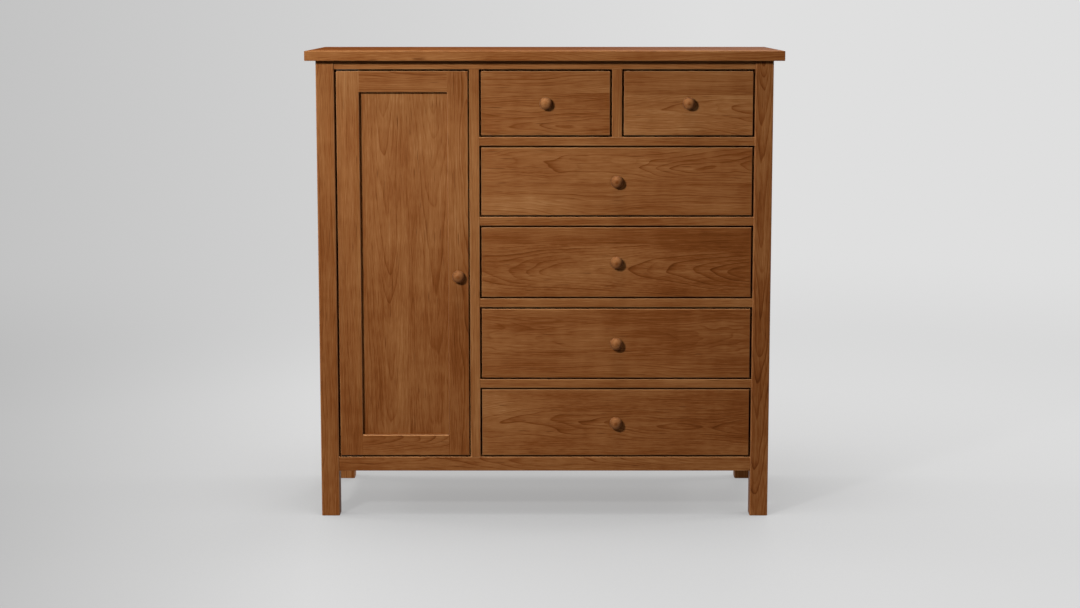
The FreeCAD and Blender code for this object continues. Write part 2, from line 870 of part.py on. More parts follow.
def make_runners():
    """Runners under the drawers' sides, guides beside them and web rails behind, in every bay."""
    left_end = "stile_right + runner_reach"
    right_end = "inner_right - runner_reach"
    # name, left and right faces of the runner and of the guide that stands on it, its rear end
    tracks = {
        "left": (
            ("partition_right", left_end), ("partition_right", "stile_right + guide_reach"), "rear_post_y",
        ),
        "right": (
            (right_end, "side_rail_inner"), ("inner_right - guide_reach", "side_rail_inner"), "rear_post_y",
        ),
        "middle": (
            ("divider_left - runner_reach", "divider_right + runner_reach"),
            ("divider_left - guide_reach", "divider_right + guide_reach"), "web_rail_y",
        ),
    }
    runners = []
    guides = []
    for floor in ("bottom_floor",) + RAIL_FLOORS:
        below = "0" if floor == "bottom_floor" else "drawer_rail_height"
        for name, (runner, guide, rear) in tracks.items():
            if name == "middle" and floor != "top_floor":
                continue
            length = f"{rear} - rail_back_y"
            runners.append(block(
                f"{floor}_{name}_runner", (runner[0], "rail_back_y", f"{floor} - {below}"),
                (f"{runner[1]} - ({runner[0]})", length, f"{below} + runner_rise"),
            ))
            guides.append(block(
                f"{floor}_{name}_guide", (guide[0], "rail_back_y", f"{floor} + runner_rise"),
                (f"{guide[1]} - ({guide[0]})", length, "guide_height"),
            ))
    group("drawer_runners", runners)
    group("drawer_guides", guides)

    group("rear_web_rails", [
        block(
            f"{floor}_web_rail", (left_end, "web_rail_y", f"{floor} - drawer_rail_height"),
            (f"{right_end} - ({left_end})", "web_rail_depth", "drawer_rail_height"),
        )
        for floor in RAIL_FLOORS
    ])


def make_stops():
    """Two blocks behind the front of each drawer, which stop it flush with the frame."""
    group("drawer_stops", [
        block(
            f"{name}_{end}_stop", (x, "face_y + front_thickness + running_gap", floor),
            ("stop_width", "stop_depth", "stop_height"),
        )
        for name, (floor, _, left, right) in DRAWERS.items()
        for end, x in (
            ("left", f"{left} + stop_end_distance"),
            ("right", f"{right} - stop_end_distance - stop_width"),
        )
    ])


# ---------------------------------------------------------------- knobs

def make_knob(label, x, z, thickness):
    """A turned knob on the face of the front or door, with the screw that holds it from behind."""
    body = new_body(f"{label}_wood", (x, "face_y - knob_projection", z))
    sketch = new_sketch(body, "Profile")
    radius = sizes.get("knob_diameter") / 2
    neck = sizes.get("knob_neck_diameter") / 2
    dome = sizes.get("knob_dome_height")
    cove_start = places.get("knob_cove_start")
    cove_end = places.get("knob_cove_end")
    dome_radius = (radius ** 2 + dome ** 2) / (2 * dome)
    half_turn = math.asin(radius / dome_radius) / 2
    dome_middle = (dome_radius * math.sin(half_turn), dome_radius * (1 - math.cos(half_turn)))
    middle, lean = V((radius + neck) / 2, (cove_start + cove_end) / 2, 0), V(-1, -1, 0)
    cove_middle = middle + lean

    apex, rim = arc(sketch, (0, 0), dome_middle, (radius, dome))
    cove_out, cove_in = arc(sketch, (radius, cove_start), (cove_middle.x, cove_middle.y), (neck, cove_end))
    edge = sketch.addGeometry(Part.LineSegment(V(radius, dome, 0), V(radius, cove_start, 0)))
    join(sketch, rim, (edge, 1))
    join(sketch, (edge, 2), cove_out)
    hold(sketch, *apex, ("0", "0"))
    hold(sketch, *rim, ("knob_radius", "knob_dome_height"))
    hold(sketch, *cove_out, ("knob_radius", "knob_cove_start"))
    hold(sketch, *cove_in, ("knob_neck_diameter / 2", "knob_cove_end"))
    sketch.addConstraint(Sketcher.Constraint("PointOnObject", apex[0], 3, -2))
    set_radius(sketch, cove_out[0], "knob_cove_radius")

    bore_end = "knob_projection - knob_bore_depth"
    corners = [
        ("knob_neck_diameter / 2", "knob_projection"),
        ("knob_bore_radius", "knob_projection"),
        ("knob_bore_radius", bore_end),
        ("0", bore_end),
    ]
    last = cove_in
    for k, corner in enumerate(corners):
        rough = V(neck - k, cove_end + 1, 0)
        line = sketch.addGeometry(Part.LineSegment(rough, rough + V(-1, 1, 0)))
        join(sketch, last, (line, 1))
        hold(sketch, line, 2, corner)
        last = (line, 2)
    closing = sketch.addGeometry(Part.LineSegment(V(0, 5, 0), V(0, 1, 0)))
    join(sketch, last, (closing, 1))
    join(sketch, (closing, 2), apex)

    turned = body.newObject("PartDesign::Revolution", "Turned")
    turned.Profile = sketch
    turned.ReferenceAxis = (sketch, ["V_Axis"])
    turned.Angle = 360
    doc.recompute()
    ease(
        body, lambda edge, box: edge.XLength > 2 * radius - TOUCH and edge.YLength < TOUCH,
        "knob_edge_arris",
    )

    shank = rod(
        f"{label}_shank", "y", (x, "face_y - knob_screw_engagement", z),
        "knob_screw_diameter", f"knob_screw_engagement + {thickness}",
    )
    head = rod(
        f"{label}_head", "y", (x, f"face_y + {thickness}", z),
        "knob_screw_head", "knob_screw_head_thickness",
    )
    group(label, [body, fused(f"{label}_screw", [shank, head])])


# ---------------------------------------------------------------- drawers

def tail_corners(height, number):
    """Four corners of one dovetail, from its root at the top round to its root at the bottom."""
    low = f"{number} * ({height}) / {TAILS} + pin_width / 2"
    high = f"{number + 1} * ({height}) / {TAILS} - pin_width / 2"
    return [
        ("tail_length", f"{high} - tail_flare"), ("0", high),
        ("0", low), ("tail_length", f"{low} + tail_flare"),
    ]


def make_drawer(name, floor, bay, bay_left, bay_right):
    left = f"{bay_left} + drawer_side_reveal"
    low = f"{floor} + drawer_reveal"
    width = f"({bay_right} - {bay_left} - 2 * drawer_side_reveal)"
    height = f"({bay} - 2 * drawer_reveal)"
    side_height = f"({height} - drawer_side_drop)"
    groove_x = "drawer_side_thickness - drawer_groove_depth"

    front = board(f"{name}_front", (left, "face_y", low), (width, "front_thickness", height), on_front)
    for end, at, into in (("Left", "0", True), ("Right", width, False)):
        sketch = new_sketch(front, f"{end}Sockets", "x", at)
        for number in range(TAILS):
            polygon(sketch, [(f"tail_lap + {y}", z) for y, z in tail_corners(side_height, number)])
        pocket(front, sketch, "drawer_side_thickness", with_normal=into)
    notch(
        front, "BottomGroove", (groove_x, "front_thickness - drawer_groove_depth", "drawer_bottom_rise"),
        (f"{width} - 2 * ({groove_x})", "drawer_groove_depth", "drawer_bottom_thickness"),
    )
    drill(front, "KnobHole", "+y", "0", [(f"{width} / 2", f"{height} / 2")], "knob_hole", "front_thickness")
    keep(front)

    side_length = "(drawer_length - tail_lap)"
    side = new_body(f"{name}_side", (left, "face_y + tail_lap", low))
    sketch = new_sketch(side, "Outline", "x")
    outline = rectangle("tail_length", "0", f"{side_length} - tail_length", side_height)
    for number in reversed(range(TAILS)):
        outline += tail_corners(side_height, number)
    polygon(sketch, outline)
    extrude(side, sketch, "drawer_side_thickness")
    groove_y = "(tail_length - drawer_groove_depth)"
    notch(
        side, "BottomGroove", (groove_x, groove_y, "drawer_bottom_rise"),
        ("drawer_groove_depth", f"{side_length} - {groove_y}", "drawer_bottom_thickness"),
    )
    other_side = mirrored(side, "x", f"{left} + {width} / 2")
    back_low = "(drawer_bottom_rise + drawer_bottom_thickness)"
    back_y = "face_y + drawer_length - drawer_side_thickness"
    back = board(
        f"{name}_back", (f"{left} + drawer_side_thickness", back_y, f"{low} + {back_low}"),
        (f"{width} - 2 * drawer_side_thickness", "drawer_side_thickness", f"{side_height} - {back_low}"),
    )
    group(f"{name}_box", [side, other_side, back])

    inset = f"({groove_x} + drawer_bottom_play)"
    start = "(front_thickness - drawer_groove_depth + drawer_bottom_play)"
    keep(board(
        f"{name}_bottom", (f"{left} + {inset}", f"face_y + {start}", f"{low} + drawer_bottom_rise"),
        (f"{width} - 2 * {inset}", f"drawer_length - {start}", "drawer_bottom_thickness"),
    ))
    make_knob(f"{name}_knob", f"{left} + {width} / 2", f"{low} + {height} / 2", "front_thickness")


# ---------------------------------------------------------------- door

def make_stile(label, left, width, opening_x, groove_x):
    """A door stile: eased round its outside, grooved for the panel, its opening edge eased between rails.

    opening_x is where the opening's edge lies in the stile, 0 or its width.
    """
    opens_left = opening_x == "0"
    body = board(
        label, (left, "face_y", "door_low"), (width, "door_thickness", "door_height"),
        not_left if opens_left else not_right,
    )
    notch(
        body, "PanelGroove", (groove_x, "panel_recess", "door_rail_width - panel_groove_depth"),
        ("panel_groove_depth", "panel_thickness", "opening_height + 2 * panel_groove_depth"),
    )
    sketch = new_sketch(body, "StoppedArris", "z", "door_rail_width + opening_height")
    radius = sizes.get("opening_arris")
    edge_x = 0 if opens_left else sizes.get(width)
    inward = 1 if opens_left else -1
    middle = radius * (1 - math.sqrt(0.5))
    face_end, side_end = arc(
        sketch, (edge_x + inward * radius, 0), (edge_x + inward * middle, middle), (edge_x, radius),
    )
    along = sketch.addGeometry(Part.LineSegment(V(edge_x + inward * radius, 0, 0), V(edge_x, 0, 0)))
    down = sketch.addGeometry(Part.LineSegment(V(edge_x, 0, 0), V(edge_x, radius, 0)))
    join(sketch, face_end, (along, 1))
    join(sketch, (along, 2), (down, 1))
    join(sketch, (down, 2), side_end)
    hold(sketch, along, 1, ("opening_arris" if opens_left else f"{opening_x} - opening_arris", "0"))
    hold(sketch, along, 2, (opening_x, "0"))
    hold(sketch, down, 2, (opening_x, "opening_arris"))
    set_radius(sketch, face_end[0], "opening_arris")
    pocket(body, sketch, "opening_height")
    return body


def leaf_screw_places():
    """Distances of a leaf's screws along X from the hinge's pivot."""
    return ["leaf_screw_from_pivot", "leaf_reach - leaf_screw_from_end"]


def frame_screw_centres():
    """The hinge screws' centres in the rail above or below the door."""
    return [(f"hinge_gap + pivot_from_edge + {x}", "pivot_from_face") for x in leaf_screw_places()]


def make_door():
    hinge_stile = make_stile(
        "door_hinge_stile", "door_left", "hinge_stile_width", "hinge_stile_width",
        "hinge_stile_width - panel_groove_depth",
    )
    leaf_corner = ("pivot_from_edge - leaf_tail", "pivot_from_face - leaf_width / 2")
    leaf_size = ("leaf_length", "leaf_width", "door_leaf_thickness")
    screws = [(f"pivot_from_edge + {x}", "pivot_from_face") for x in leaf_screw_places()]
    pivot = [("pivot_from_edge", "pivot_from_face")]
    pivot_bore = "pivot_diameter + 2 * pivot_wood_clearance"
    for end, low, face, into in (
        ("Lower", "0", "0", "+z"), ("Upper", "door_height - door_leaf_thickness", "door_height", "-z"),
    ):
        notch(hinge_stile, f"{end}Leaf", (*leaf_corner, low), leaf_size)
        drill(hinge_stile, f"{end}Pivot", into, face, pivot, pivot_bore, "pivot_depth + pivot_end_gap")
        drill(
            hinge_stile, f"{end}Screws", into, face, screws, "leaf_screw_hole",
            "door_leaf_thickness + leaf_screw_grip",
        )
    keep(hinge_stile)

    lock_stile = make_stile("door_lock_stile", "opening_right", "lock_stile_width", "0", "0")
    drill(
        lock_stile, "KnobHole", "+y", "0", [("lock_stile_width / 2", "door_knob_height")],
        "knob_hole", "door_thickness",
    )
    keep(lock_stile)

    for name, low, groove_low, opens_up in (
        ("door_bottom_rail", "door_low", "door_rail_width - panel_groove_depth", True),
        ("door_top_rail", "door_high - door_rail_width", "0", False),
    ):
        rail = board(
            name, ("opening_left", "face_y", low), ("opening_width", "door_thickness", "door_rail_width"),
        )
        ease(rail, low_front if opens_up else high_front)
        ease(rail, high_front if opens_up else low_front, "opening_arris")
        notch(
            rail, "PanelGroove", ("0", "panel_recess", groove_low),
            ("opening_width", "panel_thickness", "panel_groove_depth"),
        )
        keep(rail)

    keep(board(
        "door_panel",
        ("opening_left - panel_lap", "face_y + panel_recess", "door_low + door_rail_width - panel_lap"),
        ("opening_width + 2 * panel_lap", "panel_thickness", "opening_height + 2 * panel_lap"),
    ))
    make_knob("door_knob", "knob_stile_x", "door_low + door_knob_height", "door_thickness")


def make_hinges():
    """Pivot hinges: a leaf with the pin on the frame and a bored leaf let into the door, at both ends."""
    def leaf(name, low, thickness):
        return block(
            name, ("pivot_x - leaf_tail", "pivot_y - leaf_width / 2", low),
            ("leaf_length", "leaf_width", thickness),
        )

    def screw(name, place, low):
        return rod(
            name, "z", (f"pivot_x + {place}", "pivot_y", low),
            "leaf_screw_diameter", "leaf_screw_grip + door_leaf_thickness",
        )

    pivot = ("pivot_x", "pivot_y")
    plate = leaf("frame_plate", "bottom_floor", "frame_leaf_thickness")
    boss = rod(
        "pivot_boss", "z", (*pivot, "bottom_floor + frame_leaf_thickness"),
        "pivot_boss_diameter", "boss_thickness",
    )
    pin = rod(
        "pivot_pin", "z", (*pivot, "bottom_floor + frame_leaf_thickness"),
        "pivot_diameter", "door_reveal - frame_leaf_thickness + pivot_depth",
    )
    frame_low = "bottom_floor + frame_leaf_thickness - leaf_screw_grip - door_leaf_thickness"
    frame_screws = [
        screw(f"frame_leaf_screw_{number}", place, frame_low)
        for number, place in enumerate(leaf_screw_places(), start=1)
    ]
    frame_leaf = bored("frame_leaf", fused("frame_leaf_body", [plate, boss, pin]), frame_screws)

    door_screws = [
        screw(f"door_leaf_screw_{number}", place, "door_low")
        for number, place in enumerate(leaf_screw_places(), start=1)
    ]
    pivot_hole = rod("pivot_hole", "z", (*pivot, "door_low"), "pivot_hole", "door_leaf_thickness")
    plate = leaf("door_plate", "door_low", "door_leaf_thickness")
    door_leaf = bored("door_leaf", plate, door_screws + [pivot_hole])

    for node, pieces in (
        ("hinge_frame_leaves", [frame_leaf] + frame_screws), ("hinge_door_leaves", [door_leaf] + door_screws),
    ):
        group(node, pieces + [mirrored(piece, "z", "door_middle_z") for piece in pieces])


def make_catch():
    """A magnetic catch under the top rail, and the plate on the door that it holds."""
    magnet_corner = (
        "knob_stile_x - magnet_width / 2", "catch_y", "strike_z + (strike_height - magnet_height) / 2",
    )
    magnet = block("catch_magnet", magnet_corner, ("magnet_width", "magnet_depth", "magnet_height"))
    housing = block(
        "catch_block", ("knob_stile_x - catch_width / 2", "catch_y", "catch_z"),
        ("catch_width", "catch_depth", "catch_height"),
    )
    group("magnetic_catch", [bored("catch_housing", housing, [magnet]), magnet])
    keep(block(
        "door_strike_plate", ("knob_stile_x - strike_width / 2", "door_back_y", "strike_z"),
        ("strike_width", "strike_thickness", "strike_height"),
    ))


# ---------------------------------------------------------------- build, check and write

sizes = fill_sheet("Sizes", {alias: str(number) for alias, number in SIZES.items()})
places = fill_sheet("Places", {alias: "=" + named(formula, "Places") for alias, formula in PLACES.items()})

make_top()
for side in ("left", "right"):
    for end in ("front", "rear"):
        make_post(side, end)
    make_side(side)
make_back()
make_assembly_screws()
make_front_frame()
make_bottom_board()
make_partition()
make_shelves()
make_runners()
make_stops()
make_hinges()
make_catch()
make_door()
for drawer, bay in DRAWERS.items():
    make_drawer(drawer, *bay)
doc.recompute()

for item in doc.Objects:
    if "Invalid" in item.State or "Error" in item.State:
        raise RuntimeError(f"{item.Label} failed: {item.State}")
for node in nodes:
    if node.Shape.isNull() or not node.Shape.isValid():
        raise RuntimeError(f"{node.Label} has no valid shape")

os.makedirs(STEP_FOLDER, exist_ok=True)
for node in nodes:
    node.Shape.exportStep(os.path.join(STEP_FOLDER, node.Label + ".step"))
print(f"{len(nodes)} nodes, {sum(len(node.Shape.Solids) for node in nodes)} solids")
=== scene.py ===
"""Looks of a chifforobe in stained cherry: its woods, fittings, turned knobs, screws and a plain studio.

Lengths are metres in the frame of the CAD: x to the right, y to the back, z up from the floor.
"""

import math
from typing import NamedTuple

import bpy
import numpy as np
from mathutils import Matrix, Vector


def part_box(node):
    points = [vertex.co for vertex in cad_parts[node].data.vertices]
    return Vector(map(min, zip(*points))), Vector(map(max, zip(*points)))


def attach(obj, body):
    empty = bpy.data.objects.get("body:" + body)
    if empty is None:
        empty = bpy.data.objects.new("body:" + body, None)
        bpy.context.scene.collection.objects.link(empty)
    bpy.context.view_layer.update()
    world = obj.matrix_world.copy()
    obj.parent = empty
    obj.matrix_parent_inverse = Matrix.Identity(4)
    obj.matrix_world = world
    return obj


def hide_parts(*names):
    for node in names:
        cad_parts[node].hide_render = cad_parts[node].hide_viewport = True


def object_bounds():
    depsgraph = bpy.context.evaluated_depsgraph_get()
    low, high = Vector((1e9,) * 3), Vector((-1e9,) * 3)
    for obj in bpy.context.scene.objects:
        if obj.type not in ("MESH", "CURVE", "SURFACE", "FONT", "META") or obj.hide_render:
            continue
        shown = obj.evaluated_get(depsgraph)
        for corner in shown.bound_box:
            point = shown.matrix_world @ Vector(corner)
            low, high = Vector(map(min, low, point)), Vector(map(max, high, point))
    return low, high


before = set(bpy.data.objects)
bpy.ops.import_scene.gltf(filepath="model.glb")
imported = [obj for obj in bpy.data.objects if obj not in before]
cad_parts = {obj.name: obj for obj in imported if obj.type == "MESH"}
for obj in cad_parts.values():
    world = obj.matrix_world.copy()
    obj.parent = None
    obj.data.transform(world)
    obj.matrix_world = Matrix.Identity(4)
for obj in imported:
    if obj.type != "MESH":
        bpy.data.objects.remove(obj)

bl_info = {
    "name": "Chifforobe finishes",
    "version": (1, 0, 0),
    "blender": (4, 5, 0),
    "location": "3D View > Sidebar > Chifforobe",
    "description": "Finishes, knobs, screws and a studio for a cherry chifforobe",
    "category": "Object",
}

CAD_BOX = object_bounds()
IMAGE_WIDTH = 1080  # pixels
FOCAL_LENGTH = 2129.06  # pixels
SIDE_SHIFT = -4.68  # pixels: the piece stands a little right of the frame's middle
SENSOR_WIDTH = 36  # mm

X, Y, Z = Vector((1, 0, 0)), Vector((0, 1, 0)), Vector((0, 0, 1))
DRAWERS = (
    "top_left_drawer",
    "top_right_drawer",
    "second_drawer",
    "third_drawer",
    "fourth_drawer",
    "bottom_drawer",
)
KNOBS = {f"{drawer}_knob": drawer for drawer in DRAWERS} | {"door_knob": "door"}
KNOB_TONES = (-0.02, -0.15, -0.27, -0.07, -0.06, -0.18, -0.11)  # each knob's tone, some darker than others: partly painted shade on domes that turn away from the light


# ---------------------------------------------------------------- small tools


def linear(hex_colour):
    """Linear red, green, blue and alpha of an sRGB hex colour such as "#82522E"."""
    srgb = np.array([int(hex_colour[i : i + 2], 16) for i in (1, 3, 5)]) / 255
    rgb = np.where(srgb <= 0.04045, srgb / 12.92, ((srgb + 0.055) / 1.055) ** 2.4)
    return (*rgb.tolist(), 1.0)


def add(tree, kind, inputs=None, **settings):
    """A shader node with its settings; an input is a value, a socket, or a node whose first output is meant."""
    node = tree.nodes.new("ShaderNode" + kind)
    for name, value in settings.items():
        setattr(node, name, value)
    for key, value in (inputs or {}).items():
        if isinstance(value, bpy.types.Node):
            value = value.outputs[0]
        if isinstance(value, bpy.types.NodeSocket):
            tree.links.new(value, node.inputs[key])
        else:
            node.inputs[key].default_value = value
    return node


def new_material(name):
    """An empty material and its node tree."""
    material = bpy.data.materials.new(name)
    material.use_nodes = True
    material.node_tree.nodes.clear()
    return material, material.node_tree


def finish_node(name, material):
    """A CAD node keeps its shape and takes this material."""
    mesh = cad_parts[name].data
    mesh.materials.clear()
    mesh.materials.append(material)


def new_piece(name, points, faces, material, smooth=True):
    """A mesh object with its place in its mesh, from arrays of points and of faces."""
    mesh = bpy.data.meshes.new(name)
    mesh.from_pydata(points.tolist(), [], [list(face) for face in faces])
    mesh.polygons.foreach_set("use_smooth", np.full(len(mesh.polygons), smooth))
    mesh.update()
    mesh.materials.append(material)
    piece = bpy.data.objects.new(name, mesh)
    bpy.context.scene.collection.objects.link(piece)
    return piece


# ------------------------------------------------------------ surfaces worked out with numpy


def arc(centre, radius, start, end, steps):
    """Points on a circle: centre plus radius times (cosine, sine) of the angles from start to end, in degrees."""
    angles = np.radians(np.linspace(start, end, steps))
    return np.stack([centre[0] + radius * np.cos(angles), centre[1] + radius * np.sin(angles)], axis=1)


def lathe(profile, turns, relief=None):
    """A closed turned skin: each profile point (radius, height) is carried round the axis.

    x = radius * cos(angle), y = radius * sin(angle), z = height + relief(x, y).
    The profile starts and ends on the axis; those two rows are one point each, joined by a fan.
    """
    angles = np.linspace(0, 2 * math.pi, turns, endpoint=False)
    radius, height = profile[1:-1, 0, None], profile[1:-1, 1, None]
    x, y = radius * np.cos(angles), radius * np.sin(angles)
    z = height + np.zeros_like(x)
    poles = np.array([[0, 0, profile[0, 1]], [0, 0, profile[-1, 1]]])
    if relief is not None:
        z = z + relief(x, y, z)
        poles[0, 2] += float(relief(np.zeros(1), np.zeros(1), poles[:1, 2])[0])
    points = np.concatenate([poles, np.stack([x, y, z], axis=-1).reshape(-1, 3)])
    rows = len(profile) - 2
    index = 2 + np.arange(rows * turns).reshape(rows, turns)
    after = np.roll(index, -1, axis=1)
    quads = np.stack([index[:-1], index[1:], after[1:], after[:-1]], axis=-1).reshape(-1, 4)
    first = np.stack([np.zeros(turns, int), index[0], after[0]], axis=-1)
    last = np.stack([np.ones(turns, int), after[-1], index[-1]], axis=-1)
    return points, [*first.tolist(), *quads.tolist(), *last.tolist()]


def set_on(points, origin, axis, across):
    """The points with their own z turned to the axis and their own x to across, moved to the origin."""
    up = np.cross(axis, across)
    return np.asarray(origin) + points @ np.array([across, up, axis], float)


def knob_profile(size):
    """(radius, height) from the dome's top to the foot: a dome arc, a short eased rim, a hollow and a straight neck.

    The dome's radius is (head squared + rise squared) / (2 * rise). The hollow is an arc from rim to neck; its
    centre lies off the middle of the line between them by the root of its radius squared less half the line squared.
    """
    head, rise, neck = size.head_diameter / 2, size.dome_rise, size.neck_diameter / 2
    bend = (head**2 + rise**2) / (2 * rise)
    dome = arc((0, -bend), bend, 90, 90 - math.degrees(math.asin(head / bend)), steps=32)
    edge, low = size.eased_edge, -(rise + size.rim)
    under = arc((head - edge, low + edge), edge, 0, -90, steps=6)
    ends = np.array([[head - edge, low], [neck, size.neck_height - size.height]])
    line = ends[1] - ends[0]
    half = np.hypot(*line) / 2
    centre = ends.mean(axis=0) + math.sqrt(size.cove_radius**2 - half**2) * np.array([-line[1], line[0]]) / (2 * half)
    first, last = np.degrees(np.arctan2(*(ends - centre).T[::-1]))
    hollow = arc(centre, size.cove_radius, first, last, steps=14)[1:]
    base, chamfer = -size.height, 0.0004
    foot = np.array([[neck, base + chamfer], [neck - chamfer, base], [neck * 0.5, base], [0, base]])
    return np.concatenate([dome, under, hollow, foot])


def cross_recess(head_radius, depth):
    """How far a driver's cross sinks into a screw head.

    Depth times arm times run: arm falls from 1 to 0 over the outer part of an arm's half width, run from 1 to 0
    over the outer part of its length. Only the head is sunk, and not the shank below.
    """
    half_arm, arm_wall = 0.26 * head_radius, 0.35
    arm_length, run_out = 0.55 * head_radius, 1.25
    head_bottom = -0.4 * head_radius

    def sunk(x, y, z):
        side = np.minimum(abs(x), abs(y))
        arm = np.clip((half_arm - side) / (arm_wall * half_arm), 0, 1)
        run = np.clip(run_out * (1 - np.hypot(x, y) / arm_length), 0, 1)
        return np.where(z > head_bottom, -depth * arm * run, 0)

    return sunk


def screw_profile(head_radius, head_thickness, shank_radius, length):
    """(radius, height) of a screw from the top of its pan head to its point, with height 0 under the head.

    The crown sinks by the square of the way out to its edge, an arc leads down to the rim, and the shank ends in
    a slim cone.
    """
    crown_edge, crown_drop, rim_top = 0.82 * head_radius, 0.18, 0.8 * head_thickness
    chamfer = 0.00005
    across = np.linspace(0, crown_edge, num=15)
    crown = np.stack([across, head_thickness * (1 - crown_drop * (across / crown_edge) ** 2)], axis=1)
    corner = arc((0.72 * head_radius, 0.52 * head_thickness), 0.28 * head_radius, 48, 0, steps=5)
    corner[:, 1] = np.clip(corner[:, 1], 0, rim_top)
    rest = np.array([
        [head_radius, chamfer],
        [head_radius - chamfer, 0],
        [shank_radius, 0],
        [shank_radius, -0.3 * length],
        [shank_radius, -0.86 * length],
        [0.35 * shank_radius, -0.985 * length],
        [0, -length],
    ])
    return np.concatenate([crown, corner, rest])


# ------------------------------------------------------------ woods


def board_figure():
    """The inside of a cherry board as a solid pattern, so that faces, edges and ends of a piece agree.

    The vector's x runs along the grain and the pith is the x axis. A ring's age is the distance from the pith
    over the ring width, after two noises have bent the trunk; a ring darkens towards its end (latewood) and
    starts light again. Panels glued from boards take a new trunk in each stave. Streaks, fibres, blotches and
    the curl across the grain are noises drawn out along x.
    """
    tree = bpy.data.node_groups.new("Board figure", "ShaderNodeTree")
    sockets = {"INPUT": ("Stave width", "Seed", "Rings", "Wander"), "OUTPUT": ("Figure", "Fleck", "Height")}
    tree.interface.new_socket("Vector", in_out="INPUT", socket_type="NodeSocketVector")
    for side, names in sockets.items():
        for name in names:
            tree.interface.new_socket(name, in_out=side, socket_type="NodeSocketFloat")
    given = tree.nodes.new("NodeGroupInput").outputs
    result = tree.nodes.new("NodeGroupOutput").inputs

    along, across, deep = add(tree, "SeparateXYZ", {0: given["Vector"]}).outputs
    count = add(tree, "Math", {0: across, 1: given["Stave width"]}, operation="DIVIDE")
    stave = add(tree, "Math", {0: count}, operation="ROUND")
    other = add(tree, "Math", {0: add(tree, "Math", {0: stave}, operation="ABSOLUTE"), 1: 1.0}, operation="MINIMUM")
    number = add(tree, "CombineXYZ", {0: stave, 1: given["Seed"], 2: 0.37})
    dice = add(tree, "TexWhiteNoise", {"Vector": number}, noise_dimensions="3D")
    roll = add(tree, "VectorMath", {0: dice.outputs["Color"], 1: (0.5, 0.5, 0.5)}, operation="SUBTRACT")
    # the middle stave keeps the trunk it was given; the others move up to 3 m along, 20 mm across, 25 mm deep
    jump = add(tree, "VectorMath", {0: roll, 1: (6.0, 0.04, 0.05)}, operation="MULTIPLY")
    jump = add(tree, "VectorMath", {0: jump, "Scale": other}, operation="SCALE")
    start = add(tree, "Math", {0: given["Seed"], 1: 3.1, 2: along}, operation="MULTIPLY_ADD")
    edge = add(tree, "Math", {0: stave, 1: given["Stave width"]}, operation="MULTIPLY")
    middle = add(tree, "Math", {0: across, 1: edge}, operation="SUBTRACT")
    spot = add(tree, "CombineXYZ", {0: start, 1: middle, 2: deep})
    own = add(tree, "VectorMath", {0: spot, 1: jump}, operation="ADD")

    def drawn_out(per_metre, detail=1.0, roughness=0.5):
        """A noise with so many spots per metre along and across the grain."""
        place = add(tree, "VectorMath", {0: own, 1: (per_metre[0], per_metre[1], per_metre[1])}, operation="MULTIPLY")
        return add(tree, "TexNoise", {"Vector": place, "Scale": 1.0, "Detail": detail, "Roughness": roughness})

    # the trunk wanders by up to 25 mm over half a metre and 3.5 mm over a hand's width
    bent = own
    for per_metre, reach in (((2.2, 7.0), 0.05), ((9.0, 38.0), 0.007)):
        noise = drawn_out(per_metre).outputs["Color"]
        swing = add(tree, "VectorMath", {0: noise, 1: (0.5, 0.5, 0.5)}, operation="SUBTRACT")
        swing = add(tree, "VectorMath", {0: swing, 1: (0.0, reach, reach)}, operation="MULTIPLY")
        swing = add(tree, "VectorMath", {0: swing, "Scale": given["Wander"]}, operation="SCALE")
        bent = add(tree, "VectorMath", {0: bent, 1: swing}, operation="ADD")
    cross = add(tree, "VectorMath", {0: bent, 1: (0.0, 1.0, 1.0)}, operation="MULTIPLY")
    radius = add(tree, "VectorMath", {0: cross}, operation="LENGTH").outputs["Value"]

    # cherry grows 3 to 5 mm a year here, and good and bad years follow each other
    ring_width = 0.0034
    years = add(tree, "TexNoise", {"W": radius, "Scale": 60.0, "Detail": 1.0}, noise_dimensions="1D")
    age = add(tree, "Math", {0: radius, 1: 1 / ring_width}, operation="MULTIPLY")
    age = add(tree, "Math", {0: years, 1: 3.0, 2: age}, operation="MULTIPLY_ADD")
    year = add(tree, "Math", {0: age}, operation="FLOOR")
    season = add(tree, "Math", {0: age}, operation="FRACT")
    # the year darkens slowly, then ends in a fine line
    ripe = add(tree, "Math", {0: season, 1: 1.5}, operation="POWER")
    late = add(tree, "Math", {0: season, 1: 7.0}, operation="POWER")
    late = add(tree, "Math", {0: ripe, 1: 0.35, 2: late}, operation="MULTIPLY_ADD")
    stop = add(tree, "MapRange", {"Value": season, "From Min": 0.93, "From Max": 1.0, "To Min": 1.0, "To Max": 0.0})
    strength = add(tree, "TexWhiteNoise", {"W": year}, noise_dimensions="1D")
    strength = add(tree, "Math", {0: strength, 1: 0.85, 2: 0.25}, operation="MULTIPLY_ADD")
    line = add(tree, "Math", {0: late, 1: stop}, operation="MULTIPLY")
    line = add(tree, "Math", {0: line, 1: strength}, operation="MULTIPLY")
    rings = add(tree, "Math", {0: line, 1: given["Rings"]}, operation="MULTIPLY")

    band = drawn_out((3.2, 105.0), 2.0)  # 10 mm wide, 0.3 m long
    streak = drawn_out((8.0, 420.0), 3.0, 0.7)  # 2.4 mm wide
    # fibres and pores are 0.1 mm wide; drawn here at 1.2 mm so that they show
    fibre = drawn_out((30.0, 850.0), 2.0, 0.6)
    blotch = drawn_out((4.0, 13.0), 2.0)  # stain taken up unevenly, 80 mm wide and 0.25 m long
    curl = drawn_out((30.0, 11.0))  # waves across the grain, 35 mm apart
    gum = drawn_out((17.0, 400.0), 0.0)  # gum streaks of 30 mm by 1.5 mm
    fleck = add(tree, "MapRange", {"Value": gum, "From Min": 0.75, "From Max": 0.85, "To Max": 0.8})

